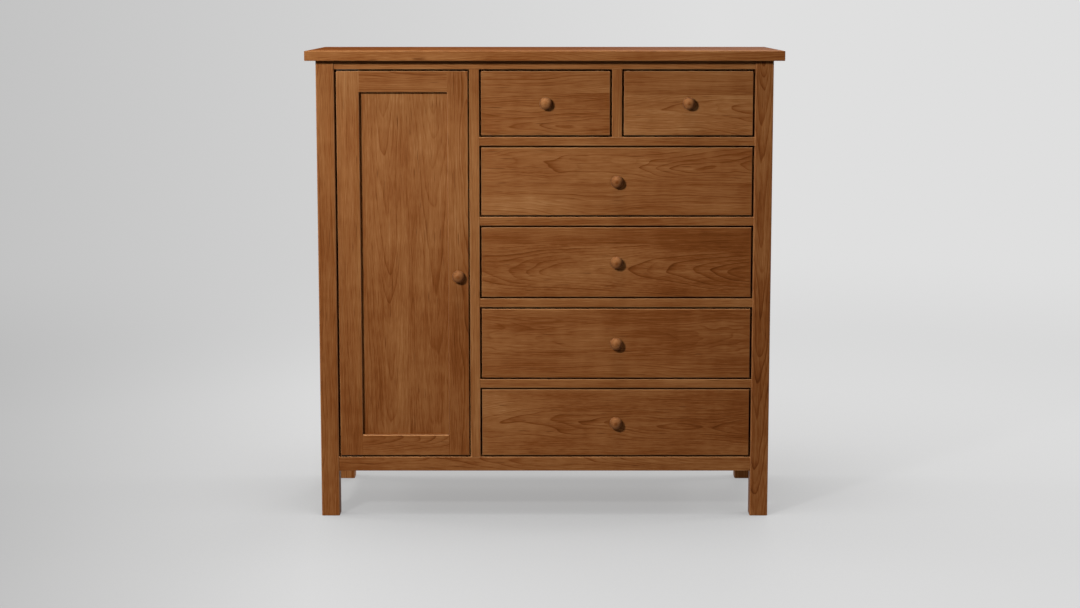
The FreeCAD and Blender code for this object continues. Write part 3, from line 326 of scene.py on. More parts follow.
    tone = add(tree, "Math", {0: add(tree, "SeparateXYZ", {0: roll}).outputs["Z"], 1: other}, operation="MULTIPLY")
    long_weights, short_weights = (0.26, 0.42, 0.42), (0.42, 0.12, 0.22)
    parts = []
    for pattern, weights in (((band, streak, fibre), long_weights), ((blotch, curl, tone), short_weights)):
        three = add(tree, "CombineXYZ", dict(enumerate(pattern)))
        parts.append(add(tree, "VectorMath", {0: three, 1: weights}, operation="DOT_PRODUCT").outputs["Value"])
    # the noises lie round 0.5, the tone round 0, and the figure round 0.55
    level = 0.55 - 0.5 * (sum(long_weights) + sum(short_weights[:2]))
    figure = add(tree, "Math", dict(enumerate(parts)), operation="ADD")
    figure = add(tree, "Math", {0: figure, 1: rings}, operation="SUBTRACT")
    figure = add(tree, "Math", {0: figure, 1: level}, operation="ADD")
    height = add(tree, "Math", {0: line, 1: -0.35, 2: fibre.outputs[0]}, operation="MULTIPLY_ADD")
    height = add(tree, "Math", {0: height, 1: fleck}, operation="SUBTRACT")
    for name, node in (("Figure", figure), ("Fleck", fleck), ("Height", height)):
        tree.links.new(node.outputs[0], result[name])
    return tree


class Board(NamedTuple):
    """Where a board was sawn from its trunk, and its tone."""

    seed: int  # picks the trunk
    across: float = 0.0  # the pith, beside the middle of the show face
    behind: float = 0.06  # the pith, behind the show face
    tilt: float = 0.0  # how the trunk leans through the face, in radians
    tone: float = 0.0  # lighter or darker than the middle of the finish's colours
    # painted light and shade: lighter or darker along the grain as the light falls off across the piece
    fade: float = 0.0  # how much lighter each metre along the grain
    rings: float = 0.3  # how strongly the ring lines show
    wander: float = 1.0  # how much the trunk bends
    stave: float = 1.0  # the width of each board where a panel is glued up from several of one tone
    to: float = None  # where the board ends across the piece, from the middle; nothing for the last


def wood(name, finish, centre, grain, face, boards):
    """A wood finish whose boards follow the piece.

    finish is what stained_cherry and its like return. centre is the middle of the piece's show face, grain and
    face are unit vectors along the grain and out of that face, and the boards lie side by side across the grain.
    """
    if "Board figure" not in bpy.data.node_groups:
        board_figure()
    material, tree = new_material(name)
    place = add(tree, "TexCoord").outputs
    across = face.cross(grain)
    turn = Matrix((grain, across, face))
    along = add(tree, "VectorMath", {0: place["Object"], 1: grain}, operation="DOT_PRODUCT").outputs["Value"]
    lower_edge = None
    for board in boards:
        lean = Matrix.Rotation(board.tilt, 3, "Y") @ turn
        shift = Vector((0, -board.across, board.behind)) - lean @ centre
        own = add(tree, "Mapping", {"Vector": place["Object"], "Location": shift, "Rotation": lean.to_euler()})
        group = add(tree, "Group", {
            "Vector": own, "Stave width": board.stave, "Seed": board.seed,
            "Rings": board.rings, "Wander": board.wander,
        }, node_tree=bpy.data.node_groups["Board figure"])
        # painted light falloff along the grain
        level = board.tone - board.fade * centre.dot(grain)
        toned = add(tree, "Math", {0: along, 1: board.fade, 2: level}, operation="MULTIPLY_ADD")
        toned = add(tree, "Math", {0: group.outputs["Figure"], 1: toned}, operation="ADD")
        these = [toned.outputs[0], group.outputs["Fleck"], group.outputs["Height"]]
        if lower_edge is None:
            figure, fleck, height = these
        else:
            side = add(tree, "VectorMath", {0: place["Object"], 1: across}, operation="DOT_PRODUCT").outputs["Value"]
            beyond = add(tree, "Math", {0: side, 1: centre.dot(across) + lower_edge}, operation="GREATER_THAN")
            figure, fleck, height = (
                add(tree, "Mix", {0: beyond, 2: old, 3: new}).outputs[0]
                for old, new in zip((figure, fleck, height), these)
            )
        lower_edge = board.to

    ramp = add(tree, "ValToRGB", {0: figure})
    stops = ramp.color_ramp.elements
    # from the darkest figure to the lightest
    for position, colour in zip((0.12, 0.38, 0.62, 0.90), finish["colours"]):
        stop = stops.new(position)
        stop.color = colour
    stops.remove(stops[0])
    stops.remove(stops[len(stops) - 1])
    marked = add(
        tree, "Mix", {0: fleck, 6: ramp.outputs["Color"], 7: finish["colours"][0]}, data_type="RGBA"
    ).outputs[2]
    # end grain drinks more stain: darker where the face looks along the grain
    ends = add(tree, "VectorMath", {0: place["Normal"], 1: grain}, operation="DOT_PRODUCT").outputs["Value"]
    ends = add(tree, "Math", {0: ends}, operation="ABSOLUTE")
    ends = add(
        tree, "MapRange",
        {"Value": ends, "From Min": 0.5, "From Max": 0.95, "To Min": 0.0, "To Max": finish["end_darkening"]},
    )
    ended = add(tree, "Mix", {0: ends, 6: marked, 7: finish["end_colour"]}, data_type="RGBA").outputs[2]
    # rounded arrises are lighter: partly stain thinned by hands and polishing, partly a painted highlight that is
    # strongest on those that face up, where light from above would fall; on an arris the normal's fourth powers add
    # up to less than 1
    if finish["arris"] > 0:
        turned = add(tree, "VectorMath", {0: place["Normal"]}, operation="ABSOLUTE")
        squared = add(tree, "VectorMath", {0: turned, 1: turned}, operation="MULTIPLY")
        flat = add(tree, "VectorMath", {0: squared, 1: squared}, operation="DOT_PRODUCT").outputs["Value"]
        worn_and_lit = add(tree, "MapRange", {"Value": flat, "From Min": 0.97, "From Max": 0.75})
        # painted highlight: arrises that face up are made lighter still
        lit_from_above = add(tree, "SeparateXYZ", {0: place["Normal"]}).outputs["Z"]
        lit_from_above = add(
            tree, "MapRange",
            {"Value": lit_from_above, "From Min": 0.2, "From Max": 0.6, "To Min": 0.15, "To Max": finish["arris"]},
        )
        worn_and_lit = add(tree, "Math", {0: worn_and_lit, 1: lit_from_above}, operation="MULTIPLY")
        ended = add(tree, "Mix", {0: worn_and_lit, 6: ended, 7: finish["worn_and_lit_arris_colour"]}, data_type="RGBA").outputs[2]
    low, high = finish["rough"] + 0.08, finish["rough"] - 0.04  # pores and ring lines are duller
    gloss = add(tree, "MapRange", {"Value": height, "From Min": -0.2, "From Max": 0.8, "To Min": low, "To Max": high})
    bump = add(tree, "Bump", {"Strength": finish["bump"], "Distance": 0.0004, "Height": height})
    shader = add(tree, "BsdfPrincipled", {
        "Base Color": ended, "Roughness": gloss, "Normal": bump, "IOR": 1.5, "Specular IOR Level": finish["gloss"],
        "Specular Tint": finish["gloss_colour"],
    })
    add(tree, "OutputMaterial", {0: shader})
    return material


def wood_tones(colours, name):
    """The four colours of a wood, from the deepest to the lightest."""
    return [tuple(getattr(colours, f"{name}_{tone}")) for tone in ("deep", "dark", "middle", "light")]


def stained_cherry(colours):
    """Plain-sawn cherry, wiped with a medium brown stain and sprayed with satin lacquer.

    A soft sheen over warm brown figure.
    """
    tones = wood_tones(colours, "stain")
    return {
        "colours": tones, "end_colour": tones[0], "end_darkening": 0.55,
        # arrises take the worn colour: rubbed stain and a painted highlight
        "arris": 0.75, "worn_and_lit_arris_colour": tuple(colours.stain_worn_and_lit),
        "rough": colours.lacquer_roughness, "gloss": 0.14, "gloss_colour": tuple(colours.lacquer_tint), "bump": 0.35,
    }


def clear_cherry(colours):
    """Cherry inside the case, unstained under one thin coat: lighter, redder and drier than the outside."""
    tones = wood_tones(colours, "clear")
    return {
        "colours": tones, "end_colour": tones[0], "end_darkening": 0.5, "arris": 0.0,
        "rough": 0.52, "gloss": 0.25, "gloss_colour": tuple(colours.lacquer_tint), "bump": 0.4,
    }


def drawer_maple(colours):
    """Hard maple drawer stock with a thin clear coat: pale, close-grained, with faint brown ring lines."""
    tones = wood_tones(colours, "maple")
    return {
        "colours": tones, "end_colour": tones[0], "end_darkening": 0.5, "arris": 0.0,
        "rough": 0.48, "gloss": 0.3, "gloss_colour": (1.0, 1.0, 1.0, 1.0), "bump": 0.3,
    }


def show_face(name, face):
    """The middle of a node's face that looks along a unit vector."""
    low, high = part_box(name)
    half = (high - low) / 2
    return (low + high) / 2 + face * abs(half.dot(face))


def finish_boards(rows, finish, label):
    """Gives each row's nodes a wood finish: (names with spaces between, grain, face, board, board ...)."""
    for names, grain, face, *boards in rows:
        names = names.split()
        material = wood(f"{label} {names[0]}", finish, show_face(names[0], face), grain, face, boards)
        for name in names:
            finish_node(name, material)


# ------------------------------------------------------------ metal and plastic


def clouded(name, dark, light, cloud, grain, relief, gloss, gloss_follows="cloud", **surface):
    """A material that clouds from a dark to a light colour, with a grain that stands out.

    cloud and grain are (spots per metre along x, y and z, detail), relief is (strength, height in metres), gloss
    is the roughness where the noise that it follows is 0 and where it is 1.
    """
    material, tree = new_material(name)
    place = add(tree, "TexCoord").outputs["Object"]
    noises = {}
    for key, (per_metre, detail) in (("cloud", cloud), ("grain", grain)):
        spots = add(tree, "VectorMath", {0: place, 1: per_metre}, operation="MULTIPLY")
        noises[key] = add(tree, "TexNoise", {"Vector": spots, "Scale": 1.0, "Detail": detail})
    colour = add(tree, "Mix", {0: noises["cloud"], 6: tuple(dark), 7: tuple(light)}, data_type="RGBA").outputs[2]
    rough = add(tree, "MapRange", {"Value": noises[gloss_follows], "To Min": gloss[0], "To Max": gloss[1]})
    bump = add(tree, "Bump", {"Strength": relief[0], "Distance": relief[1], "Height": noises["grain"]})
    shader = add(tree, "BsdfPrincipled", {"Base Color": colour, "Roughness": rough, "Normal": bump, **surface})
    add(tree, "OutputMaterial", {0: shader})
    return material


def zinc_steel(colours):
    """Zinc plated steel, drawn and tumbled: a grey with fine drawing lines and a soft, slightly uneven shine."""
    # drawing lines are about 0.05 mm apart; drawn here at 0.5 mm so that they show
    return clouded(
        "Zinc plated steel", colours.steel_dark, colours.steel_light,
        cloud=((120.0, 120.0, 120.0), 2.0), grain=((2000.0, 90.0, 2000.0), 2.0),
        relief=(0.15, 0.0001), gloss=(0.28, 0.46), gloss_follows="grain", Metallic=1.0,
    )


def bronzed_steel(colours):
    """Pressed steel, chemically bronzed and oiled: nearly black, with brown clouds and a dull oily shine."""
    # rolling marks of 0.1 mm, drawn here at 0.5 mm so that they show
    return clouded(
        "Bronzed steel", colours.bronzed_dark, colours.bronzed_light,
        cloud=((150.0, 150.0, 150.0), 3.0), grain=((80.0, 2000.0, 2000.0), 1.0),
        relief=(0.15, 0.0001), gloss=(0.36, 0.52), Metallic=1.0,
    )


def moulded_plastic(colours):
    """Brown ABS from a lightly textured mould: matt, with a fine grain and paler rubbed spots."""
    return clouded(
        "Moulded ABS", colours.plastic_dark, colours.plastic_light,
        cloud=((90.0, 90.0, 90.0), 2.0), grain=((1400.0, 1400.0, 1400.0), 1.0),
        relief=(0.4, 0.0002), gloss=(0.5, 0.64), IOR=1.54,
    )


def shared_material(name, make, colours):
    """The material of that name, made the first time it is asked for."""
    return bpy.data.materials.get(name) or make(colours)


# ------------------------------------------------------------ sizes and colours a user may change


def colour_property(name, description, hex_colour):
    return bpy.props.FloatVectorProperty(
        name=name, description=description, subtype="COLOR", size=4, min=0, max=1, default=linear(hex_colour)
    )


def length_property(name, description, default, low):
    return bpy.props.FloatProperty(
        name=name, description=description, default=default, min=low, subtype="DISTANCE", unit="LENGTH", precision=4
    )


def power_property(name, description, default):
    return bpy.props.FloatProperty(
        name=name, description=description, default=default, min=0, subtype="POWER", unit="POWER"
    )


class ChifforobeColours(bpy.types.PropertyGroup):
    """Colours and gloss of the woods, metal and plastic."""

    stain_deep: colour_property("Stain, deepest", "Latewood, flecks and end grain under the stain", "#4C250B")
    stain_dark: colour_property("Stain, dark", "Darker streaks under the stain", "#683918")
    stain_middle: colour_property("Stain, middle", "The stained wood's main brown", "#80532E")
    stain_light: colour_property("Stain, light", "Lightest bands under the stain", "#976E46")
    # partly a painted highlight: upward arrises take this colour as if lit from above, besides the rubbed stain
    stain_worn_and_lit: colour_property("Stain, worn", "Arrises where the stain is rubbed thin", "#B5855A")
    lacquer_tint: colour_property("Lacquer tint", "Amber of the lacquer in its straight reflection", "#D9A878")
    lacquer_roughness: bpy.props.FloatProperty(
        name="Lacquer roughness", description="Roughness of the satin lacquer", default=0.5, min=0, max=1,
        subtype="FACTOR",
    )
    clear_deep: colour_property("Clear cherry, deepest", "Latewood of the unstained cherry", "#7D4F2C")
    clear_dark: colour_property("Clear cherry, dark", "Darker streaks of the unstained cherry", "#A06D43")
    clear_middle: colour_property("Clear cherry, middle", "Main colour of the unstained cherry", "#B98A5C")
    clear_light: colour_property("Clear cherry, light", "Lightest bands of the unstained cherry", "#CBA176")
    maple_deep: colour_property("Maple, deepest", "Ring lines and end grain of the maple", "#A88258")
    maple_dark: colour_property("Maple, dark", "Darker streaks of the maple", "#C4A074")
    maple_middle: colour_property("Maple, middle", "Main colour of the maple", "#D5B78D")
    maple_light: colour_property("Maple, light", "Lightest bands of the maple", "#E0C8A3")
    steel_dark: colour_property("Steel, dark", "Duller patches of the plating", "#A3A09A")
    steel_light: colour_property("Steel, light", "Brighter patches of the plating", "#C6C4BE")
    bronzed_dark: colour_property("Bronzed steel, dark", "Hinge leaves where the bronzing is thick", "#1E1814")
    bronzed_light: colour_property("Bronzed steel, light", "Hinge leaves where the bronzing is thin", "#3A2E24")
    plastic_dark: colour_property("Plastic, dark", "Moulded plastic in its grain", "#3E2C1F")
    plastic_light: colour_property("Plastic, light", "Moulded plastic where it is rubbed", "#523D2D")


class ChifforobeKnobs(bpy.types.PropertyGroup):
    """Sizes of a turned knob."""

    head_diameter: length_property("Head diameter", "Widest part of the knob", 0.032, 0.005)
    height: length_property("Height", "How far the knob stands off the wood", 0.025, 0.005)
    dome_rise: length_property("Dome rise", "Height of the domed face over the rim", 0.015, 0.001)
    rim: length_property("Rim", "Straight rim below the dome", 0.0025, 0.0005)
    neck_diameter: length_property("Neck diameter", "Neck against the wood", 0.017, 0.002)
    neck_height: length_property("Neck height", "Straight neck below the hollow", 0.005, 0.001)
    cove_radius: length_property("Cove radius", "Hollow between rim and neck", 0.009, 0.005)
    eased_edge: length_property("Eased edge", "Rounding of the rim", 0.001, 0.0001)


class ChifforobeStage(bpy.types.PropertyGroup):
    """The studio round the piece."""

    floor_near: colour_property("Floor, near", "Floor before the piece", "#D3D3D3")
    floor_near_left: colour_property("Floor, near left", "Floor before the piece, to its left", "#B7B7B7")
    floor_far: colour_property("Background", "Floor far behind the piece, and the room", "#DFDFDF")
    floor_far_left: colour_property(
        "Background, left", "Floor far behind the piece and the room, to its left", "#C3C3C3"
    )
    lens: bpy.props.FloatProperty(
        name="Lens", description="Focal length", default=FOCAL_LENGTH / IMAGE_WIDTH * SENSOR_WIDTH, min=10,
        unit="CAMERA",
    )
    camera_distance: length_property("Camera distance", "From the middle of the piece to the camera", 5.6841, 1.0)
    camera_height: length_property("Camera height", "Height of the camera over the floor", 1.3319, 0.1)
    camera_pitch: bpy.props.FloatProperty(
        name="Camera pitch", description="How far the camera looks down", default=math.radians(8.053),
        subtype="ANGLE", unit="ROTATION",
    )
    key_power: power_property("Key light", "Power of the lamp to the left of the front", 128)
    top_power: power_property("Top light", "Power of the soft lamp over the piece", 106)
    rear_power: power_property("Rear light", "Power of the soft lamp behind", 190)
    side_power: power_property("Side lights", "Power of each soft lamp beside the piece", 150)
    sky: bpy.props.FloatProperty(
        name="Room light", description="Strength of the even light all round", default=0.06, min=0, subtype="FACTOR"
    )


# ------------------------------------------------------------ operators


def settings():
    scene = bpy.context.scene
    return scene.chifforobe_colours, scene.chifforobe_knobs, scene.chifforobe_stage


class CHIFFOROBE_OT_stage(bpy.types.Operator):
    """Camera, soft lamps, room light and a pale floor"""

    bl_idname = "chifforobe.stage"
    bl_label = "Stage"

    def execute(self, context):
        stage = settings()[2]
        scene = context.scene
        scene.view_settings.view_transform = "Standard"

        lens = bpy.data.cameras.new("Camera")
        lens.lens, lens.sensor_width = stage.lens, SENSOR_WIDTH
        lens.shift_x = SIDE_SHIFT / IMAGE_WIDTH
        lens.clip_start, lens.clip_end = 0.1, 300
        camera = bpy.data.objects.new("Camera", lens)
        camera.location = (0, -stage.camera_distance, stage.camera_height)
        camera.rotation_euler = (math.pi / 2 - stage.camera_pitch, 0, 0)
        scene.collection.objects.link(camera)
        scene.camera = camera

        for name, place, aim, power, size in (
            ("Key lamp", (-1.5, -2.8, 2.1), (0.0, 0.0, 0.7), stage.key_power, 0.4),
            ("Top lamp", (-0.2, -0.7, 4.4), (0.0, 0.0, 0.6), stage.top_power, 1.2),
            ("Rear lamp", (1.0, 4.4, 2.6), (0.0, 0.0, 0.7), stage.rear_power, 1.6),
            ("Left lamp", (-4.4, 0.9, 2.3), (0.0, 0.0, 0.6), stage.side_power, 1.2),
            ("Right lamp", (4.4, 0.9, 2.3), (0.0, 0.0, 0.6), stage.side_power, 1.2),
        ):
            light = bpy.data.lights.new(name, "AREA")
            light.shape, light.size, light.energy = "DISK", size, power
            lamp = bpy.data.objects.new(name, light)
            lamp.location = place
            lamp.rotation_euler = (Vector(aim) - Vector(place)).to_track_quat("-Z", "Y").to_euler()
            lamp.visible_camera = False
            scene.collection.objects.link(lamp)

        world = bpy.data.worlds.new("Room")
        world.use_nodes = True
        tree = world.node_tree
        tree.nodes.clear()
        ahead = add(tree, "TexCoord").outputs["Generated"]
        _, room = self.paper_colours(tree, ahead, 0.0, stage)
        even = add(tree, "Background", {0: (1.0, 1.0, 1.0, 1.0), 1: stage.sky})
        shown = add(tree, "Background", {0: room, 1: 1.0})
        add(tree, "OutputWorld", {0: add(tree, "MixShader", {0: self.seen(tree), 1: even, 2: shown})})
        scene.world = world

        # a round floor: radius grows with the row, angle with the column
        radii, thickness = [0, 0.5, 1, 2, 4, 8, 16, 32, 60, 120], 0.02
        points, faces = lathe(np.array([*((radius, 0.0) for radius in radii), (0.0, -thickness)]), turns=64)
        floor = new_piece("studio_floor", points, faces, self.floor_material(stage), smooth=False)
        return {"FINISHED"}

    @staticmethod
    def seen(tree):
        """1 where the ray is one that shows the background: camera, glossy or transmission."""
        path = add(tree, "LightPath").outputs
        some = add(tree, "Math", {0: path["Is Camera Ray"], 1: path["Is Glossy Ray"]}, operation="MAXIMUM")
        return add(tree, "Math", {0: some, 1: path["Is Transmission Ray"]}, operation="MAXIMUM")

    @staticmethod
    def paper_colours(tree, place, softness, stage):
        """Near and far paper colours, darker to the left.

        How far left is the sine of a place's bearing from the camera's stand: x over the length of (x, y, softness).
        """
        level = add(tree, "VectorMath", {0: place, 1: (1.0, 1.0, 0.0)}, operation="MULTIPLY")
        level = add(tree, "VectorMath", {0: level, 1: (0.0, 0.0, softness)}, operation="ADD")
        reach = add(tree, "VectorMath", {0: level}, operation="LENGTH").outputs["Value"]
        bearing = add(tree, "Math", {0: add(tree, "SeparateXYZ", {0: place}), 1: reach}, operation="DIVIDE")
        colours = []
        for low, high, left, right in (
            (-0.25, -0.11, stage.floor_near_left, stage.floor_near),
            (-0.25, 0.08, stage.floor_far_left, stage.floor_far),
        ):
            share = add(tree, "MapRange", {"Value": bearing, "From Min": low, "From Max": high})
            colours.append(add(tree, "Mix", {0: share, 6: tuple(left), 7: tuple(right)}, data_type="RGBA").outputs[2])
        return colours

    def floor_material(self, stage):
        """Seamless paper: matt and pale, with a faint fibre.

        Part of its light is its own, more of it away from the piece, so that the shadow stays soft and the paper
        runs out into the room.
        """
        material, tree = new_material("Seamless paper")
        place = add(tree, "TexCoord").outputs["Object"]
        stand = add(tree, "VectorMath", {0: place, 1: (0.0, stage.camera_distance, 0.0)}, operation="ADD")
        near, far = self.paper_colours(tree, stand, 1.0, stage)
        apart = add(tree, "VectorMath", {0: place}, operation="LENGTH").outputs["Value"]
        away = add(
            tree, "MapRange", {"Value": apart, "From Min": 0.6, "From Max": 6.0}, interpolation_type="SMOOTHSTEP"
        )
        colour = add(tree, "Mix", {0: away, 6: near, 7: far}, data_type="RGBA").outputs[2]
        # how far outside the piece's own footprint a place is
        corner = add(tree, "VectorMath", {0: place}, operation="ABSOLUTE")
        corner = add(tree, "VectorMath", {0: corner, 1: (CAD_BOX[1].x, CAD_BOX[1].y, 0.0)}, operation="SUBTRACT")
        corner = add(tree, "VectorMath", {0: corner, 1: (0.0, 0.0, 0.0)}, operation="MAXIMUM")
        outside = add(tree, "VectorMath", {0: corner}, operation="LENGTH").outputs["Value"]
        distant = add(
            tree, "MapRange", {"Value": outside, "From Min": 0.4, "From Max": 3.0, "To Min": 0.88, "To Max": 1.0},
            interpolation_type="SMOOTHSTEP",
        )
        shown = self.seen(tree)
        # under the piece the paper lights the feet as well
        under = add(
            tree, "MapRange", {"Value": outside, "From Min": 0.05, "From Max": 0.4, "To Min": 1.0, "To Max": 0.0}
        )
        share = add(tree, "Mix", {0: shown, 2: under, 3: distant})
        # the piece hides part of the room from the paper round it
        open_sky = add(tree, "AmbientOcclusion", {"Distance": 1.5}, samples=8)
        hidden = add(
            tree, "MapRange",
            {"Value": open_sky.outputs["AO"], "From Min": 0.35, "From Max": 1.0, "To Min": 0.655, "To Max": 1.0},
        )
        fibre = add(tree, "TexNoise", {"Vector": place, "Scale": 900.0, "Detail": 2.0})
        bump = add(tree, "Bump", {"Strength": 0.05, "Distance": 0.0005, "Height": fibre})
        # grey paper throws little light back up at the piece
        greyed = add(tree, "Mix", {0: shown, 6: (0.1, 0.1, 0.1, 1.0), 7: colour}, data_type="RGBA").outputs[2]
        paper = add(tree, "BsdfDiffuse", {0: greyed, "Normal": bump})
        own_light = add(tree, "Emission", {0: colour, 1: hidden})
        add(tree, "OutputMaterial", {0: add(tree, "MixShader", {0: share, 1: paper, 2: own_light})})
        return material


class CHIFFOROBE_OT_posts(bpy.types.Operator):
    """The four square posts, sawn from solid stock"""

    bl_idname = "chifforobe.posts"
    bl_label = "Posts"

    def execute(self, context):
        finish_boards((
            ("left_front_post", Z, -Y, Board(across=0.05, behind=0.05, tilt=0.01, tone=-0.045, fade=0.1, seed=11)),
            (
                "right_front_post", Z, -Y,
                Board(behind=0.045, tilt=0.035, tone=-0.045, seed=12, rings=0.36, wander=0.6),
            ),
            ("left_rear_post", Z, Y, Board(across=0.02, behind=0.07, tilt=0.02, seed=13)),
            ("right_rear_post", Z, Y, Board(across=-0.01, tilt=-0.02, seed=14)),
        ), stained_cherry(settings()[0]), "Stained cherry")
        return {"FINISHED"}


class CHIFFOROBE_OT_top_board(bpy.types.Operator):
    """The top, glued up from five boards"""

    bl_idname = "chifforobe.top_board"
    bl_label = "Top board"

    def execute(self, context):
        finish = stained_cherry(settings()[0])
        # rubbed dull, so that it shows little of the room at a low angle; its arrises carry less rubbed stain and
        # painted highlight than the front's
        finish["rough"], finish["gloss"], finish["arris"] = 0.7, 0.0005, 0.4
        finish_boards((
            ("top_board", X, Z,
                # the front strip with the front edge is painted lighter and the rest of the top darker: painted shade
                # that holds the lamp-lit top near the front edge's brightness
                Board(tilt=0.03, tone=0.05, seed=21, stave=0.104, to=-0.156),
                Board(tilt=0.03, tone=-0.16, seed=21, stave=0.104),
            ),
        ), finish, "Stained cherry")
        return {"FINISHED"}


class CHIFFOROBE_OT_front_frame(bpy.types.Operator):
    """Rails, centre stile and divider round the door and drawers"""

    bl_idname = "chifforobe.front_frame"
    bl_label = "Front frame"

    def execute(self, context):
        finish_boards((
            # lighter, and lighter to the right: painted light that lifts the top's shadow on the rail
            ("front_top_rail", X, -Y, Board(across=-0.04, behind=0.04, tone=0.06, fade=0.08, seed=31)),
            ("front_bottom_rail", X, -Y, Board(across=0.03, behind=0.05, tilt=0.03, tone=-0.045, fade=0.05, seed=32)),
            ("drawer_rails", X, -Y, Board(across=0.05, tilt=0.02, seed=33)),
            ("centre_stile", Z, -Y, Board(across=0.05, behind=0.04, tone=0.04, fade=-0.05, seed=34)),
            ("top_drawer_divider", Z, -Y, Board(across=-0.04, behind=0.04, seed=35)),
        ), stained_cherry(settings()[0]), "Stained cherry")
        return {"FINISHED"}


class CHIFFOROBE_OT_sides(bpy.types.Operator):
    """Frame and panel sides"""

    bl_idname = "chifforobe.sides"
    bl_label = "Sides"

    def execute(self, context):
        finish_boards((
            ("left_side_rails", Y, -X, Board(across=0.03, tilt=0.04, seed=41)),
            ("right_side_rails", Y, X, Board(across=0.03, tilt=-0.04, seed=42)),
            ("left_side_panel", Z, -X, Board(behind=0.05, tilt=0.03, seed=43, stave=0.098)),
            ("right_side_panel", Z, X, Board(behind=0.055, tilt=-0.03, seed=44, stave=0.098)),
        ), stained_cherry(settings()[0]), "Stained cherry")
        return {"FINISHED"}


class CHIFFOROBE_OT_door(bpy.types.Operator):
    """The door's stiles, rails and flat panel"""

    bl_idname = "chifforobe.door"
    bl_label = "Door"

    def execute(self, context):
        panel = Board(across=0.045, tilt=0.03, seed=55, stave=0.108, rings=0.22, wander=0.45)
        finish_boards((
            ("door_hinge_stile", Z, -Y, Board(across=0.11, tilt=0.01, tone=-0.005, fade=0.2, seed=51, wander=0.8)),
            (
                "door_lock_stile", Z, -Y,
                Board(across=-0.03, behind=0.05, tilt=0.02, tone=-0.07, fade=0.18, seed=52, wander=0.6),
            ),
            ("door_top_rail", X, -Y, Board(across=0.04, behind=0.05, seed=53)),
            ("door_bottom_rail", X, -Y, Board(across=0.02, behind=0.05, tilt=-0.05, tone=-0.06, seed=54)),
            ("door_panel", Z, -Y,
                panel._replace(tone=-0.11, fade=0.17, to=-0.009),
                panel._replace(tone=-0.015, fade=0.13),
            ),
        ), stained_cherry(settings()[0]), "Stained cherry")
        return {"FINISHED"}


class CHIFFOROBE_OT_drawer_fronts(bpy.types.Operator):
    """Six drawer fronts, most of them glued from two boards"""

    bl_idname = "chifforobe.drawer_fronts"
    bl_label = "Drawer fronts"

    def execute(self, context):
        finish_boards((
            ("top_left_drawer_front", X, -Y,
                Board(across=-0.045, behind=0.05, tilt=0.02, tone=-0.045, seed=61, to=0.026),
                Board(across=0.12, tone=0.01, seed=62),
            ),
            ("top_right_drawer_front", X, -Y,
                Board(across=-0.03, tilt=0.03, tone=0.06, seed=63, to=0.021),
                Board(across=0.13, behind=0.05, tone=0.02, seed=64),
            ),
            ("second_drawer_front", X, -Y,
                Board(across=-0.1, fade=-0.22, seed=65, to=-0.002),
                Board(across=0.045, behind=0.05, tilt=0.02, fade=-0.22, seed=66),
            ),
            ("third_drawer_front", X, -Y,
                Board(across=-0.02, tilt=0.05, tone=-0.05, fade=-0.2, seed=67, rings=0.36, wander=0.5, to=0.048),
                Board(across=0.16, behind=0.05, tone=-0.12, fade=-0.12, seed=68),
            ),
            ("fourth_drawer_front", X, -Y,
                Board(across=-0.12, tone=-0.07, fade=-0.1, seed=69, to=-0.035),
                Board(across=0.02, behind=0.09, tilt=-0.02, tone=-0.06, fade=-0.1, seed=70, rings=0.22),
            ),
            ("bottom_drawer_front", X, -Y,
                Board(across=-0.01, behind=0.05, tilt=0.04, tone=-0.055, fade=-0.22, seed=75, wander=0.9),
            ),
        ), stained_cherry(settings()[0]), "Stained cherry")
        return {"FINISHED"}


class CHIFFOROBE_OT_inside(bpy.types.Operator):
    """Runners, guides, cleats, stops, shelves, partition, bottom and back in clear cherry"""

    bl_idname = "chifforobe.inside"
    bl_label = "Inside of the case"

    def execute(self, context):
        finish_boards((
            ("drawer_runners drawer_guides", Y, Z, Board(across=0.1, behind=0.07, tilt=0.02, seed=81, stave=0.12)),
            ("top_cleats", Y, -Z, Board(behind=0.07, seed=82, stave=0.15)),
            (
                "rear_web_rails drawer_stops rear_rails", X, -Y,
                Board(across=0.03, behind=0.07, tilt=0.02, seed=83, stave=0.2),
            ),
            ("bottom_board", X, Z, Board(tilt=0.02, seed=84, stave=0.11)),
            ("back_panel", Z, Y, Board(tilt=0.02, seed=85, stave=0.121)),
            ("partition_panel", Z, -X, Board(tilt=0.02, seed=86, stave=0.105)),
            ("shelves", X, Z, Board(tilt=0.03, seed=87, stave=0.095)),
        ), clear_cherry(settings()[0]), "Clear cherry")
        return {"FINISHED"}


class CHIFFOROBE_OT_drawer_boxes(bpy.types.Operator):
    """Maple sides, backs and bottoms of the drawers"""

    bl_idname = "chifforobe.drawer_boxes"
    bl_label = "Drawer boxes"

    def execute(self, context):
        maple = drawer_maple(settings()[0])
        for number, drawer in enumerate(DRAWERS):
            finish_boards((
                (f"{drawer}_box", Y, -X, Board(across=0.05, behind=0.08, tilt=0.02, seed=91 + number, rings=0.2)),
                (f"{drawer}_bottom", X, Z, Board(behind=0.05, tilt=0.03, seed=101 + number, rings=0.24, stave=0.12)),
            ), maple, "Clear maple")
        return {"FINISHED"}


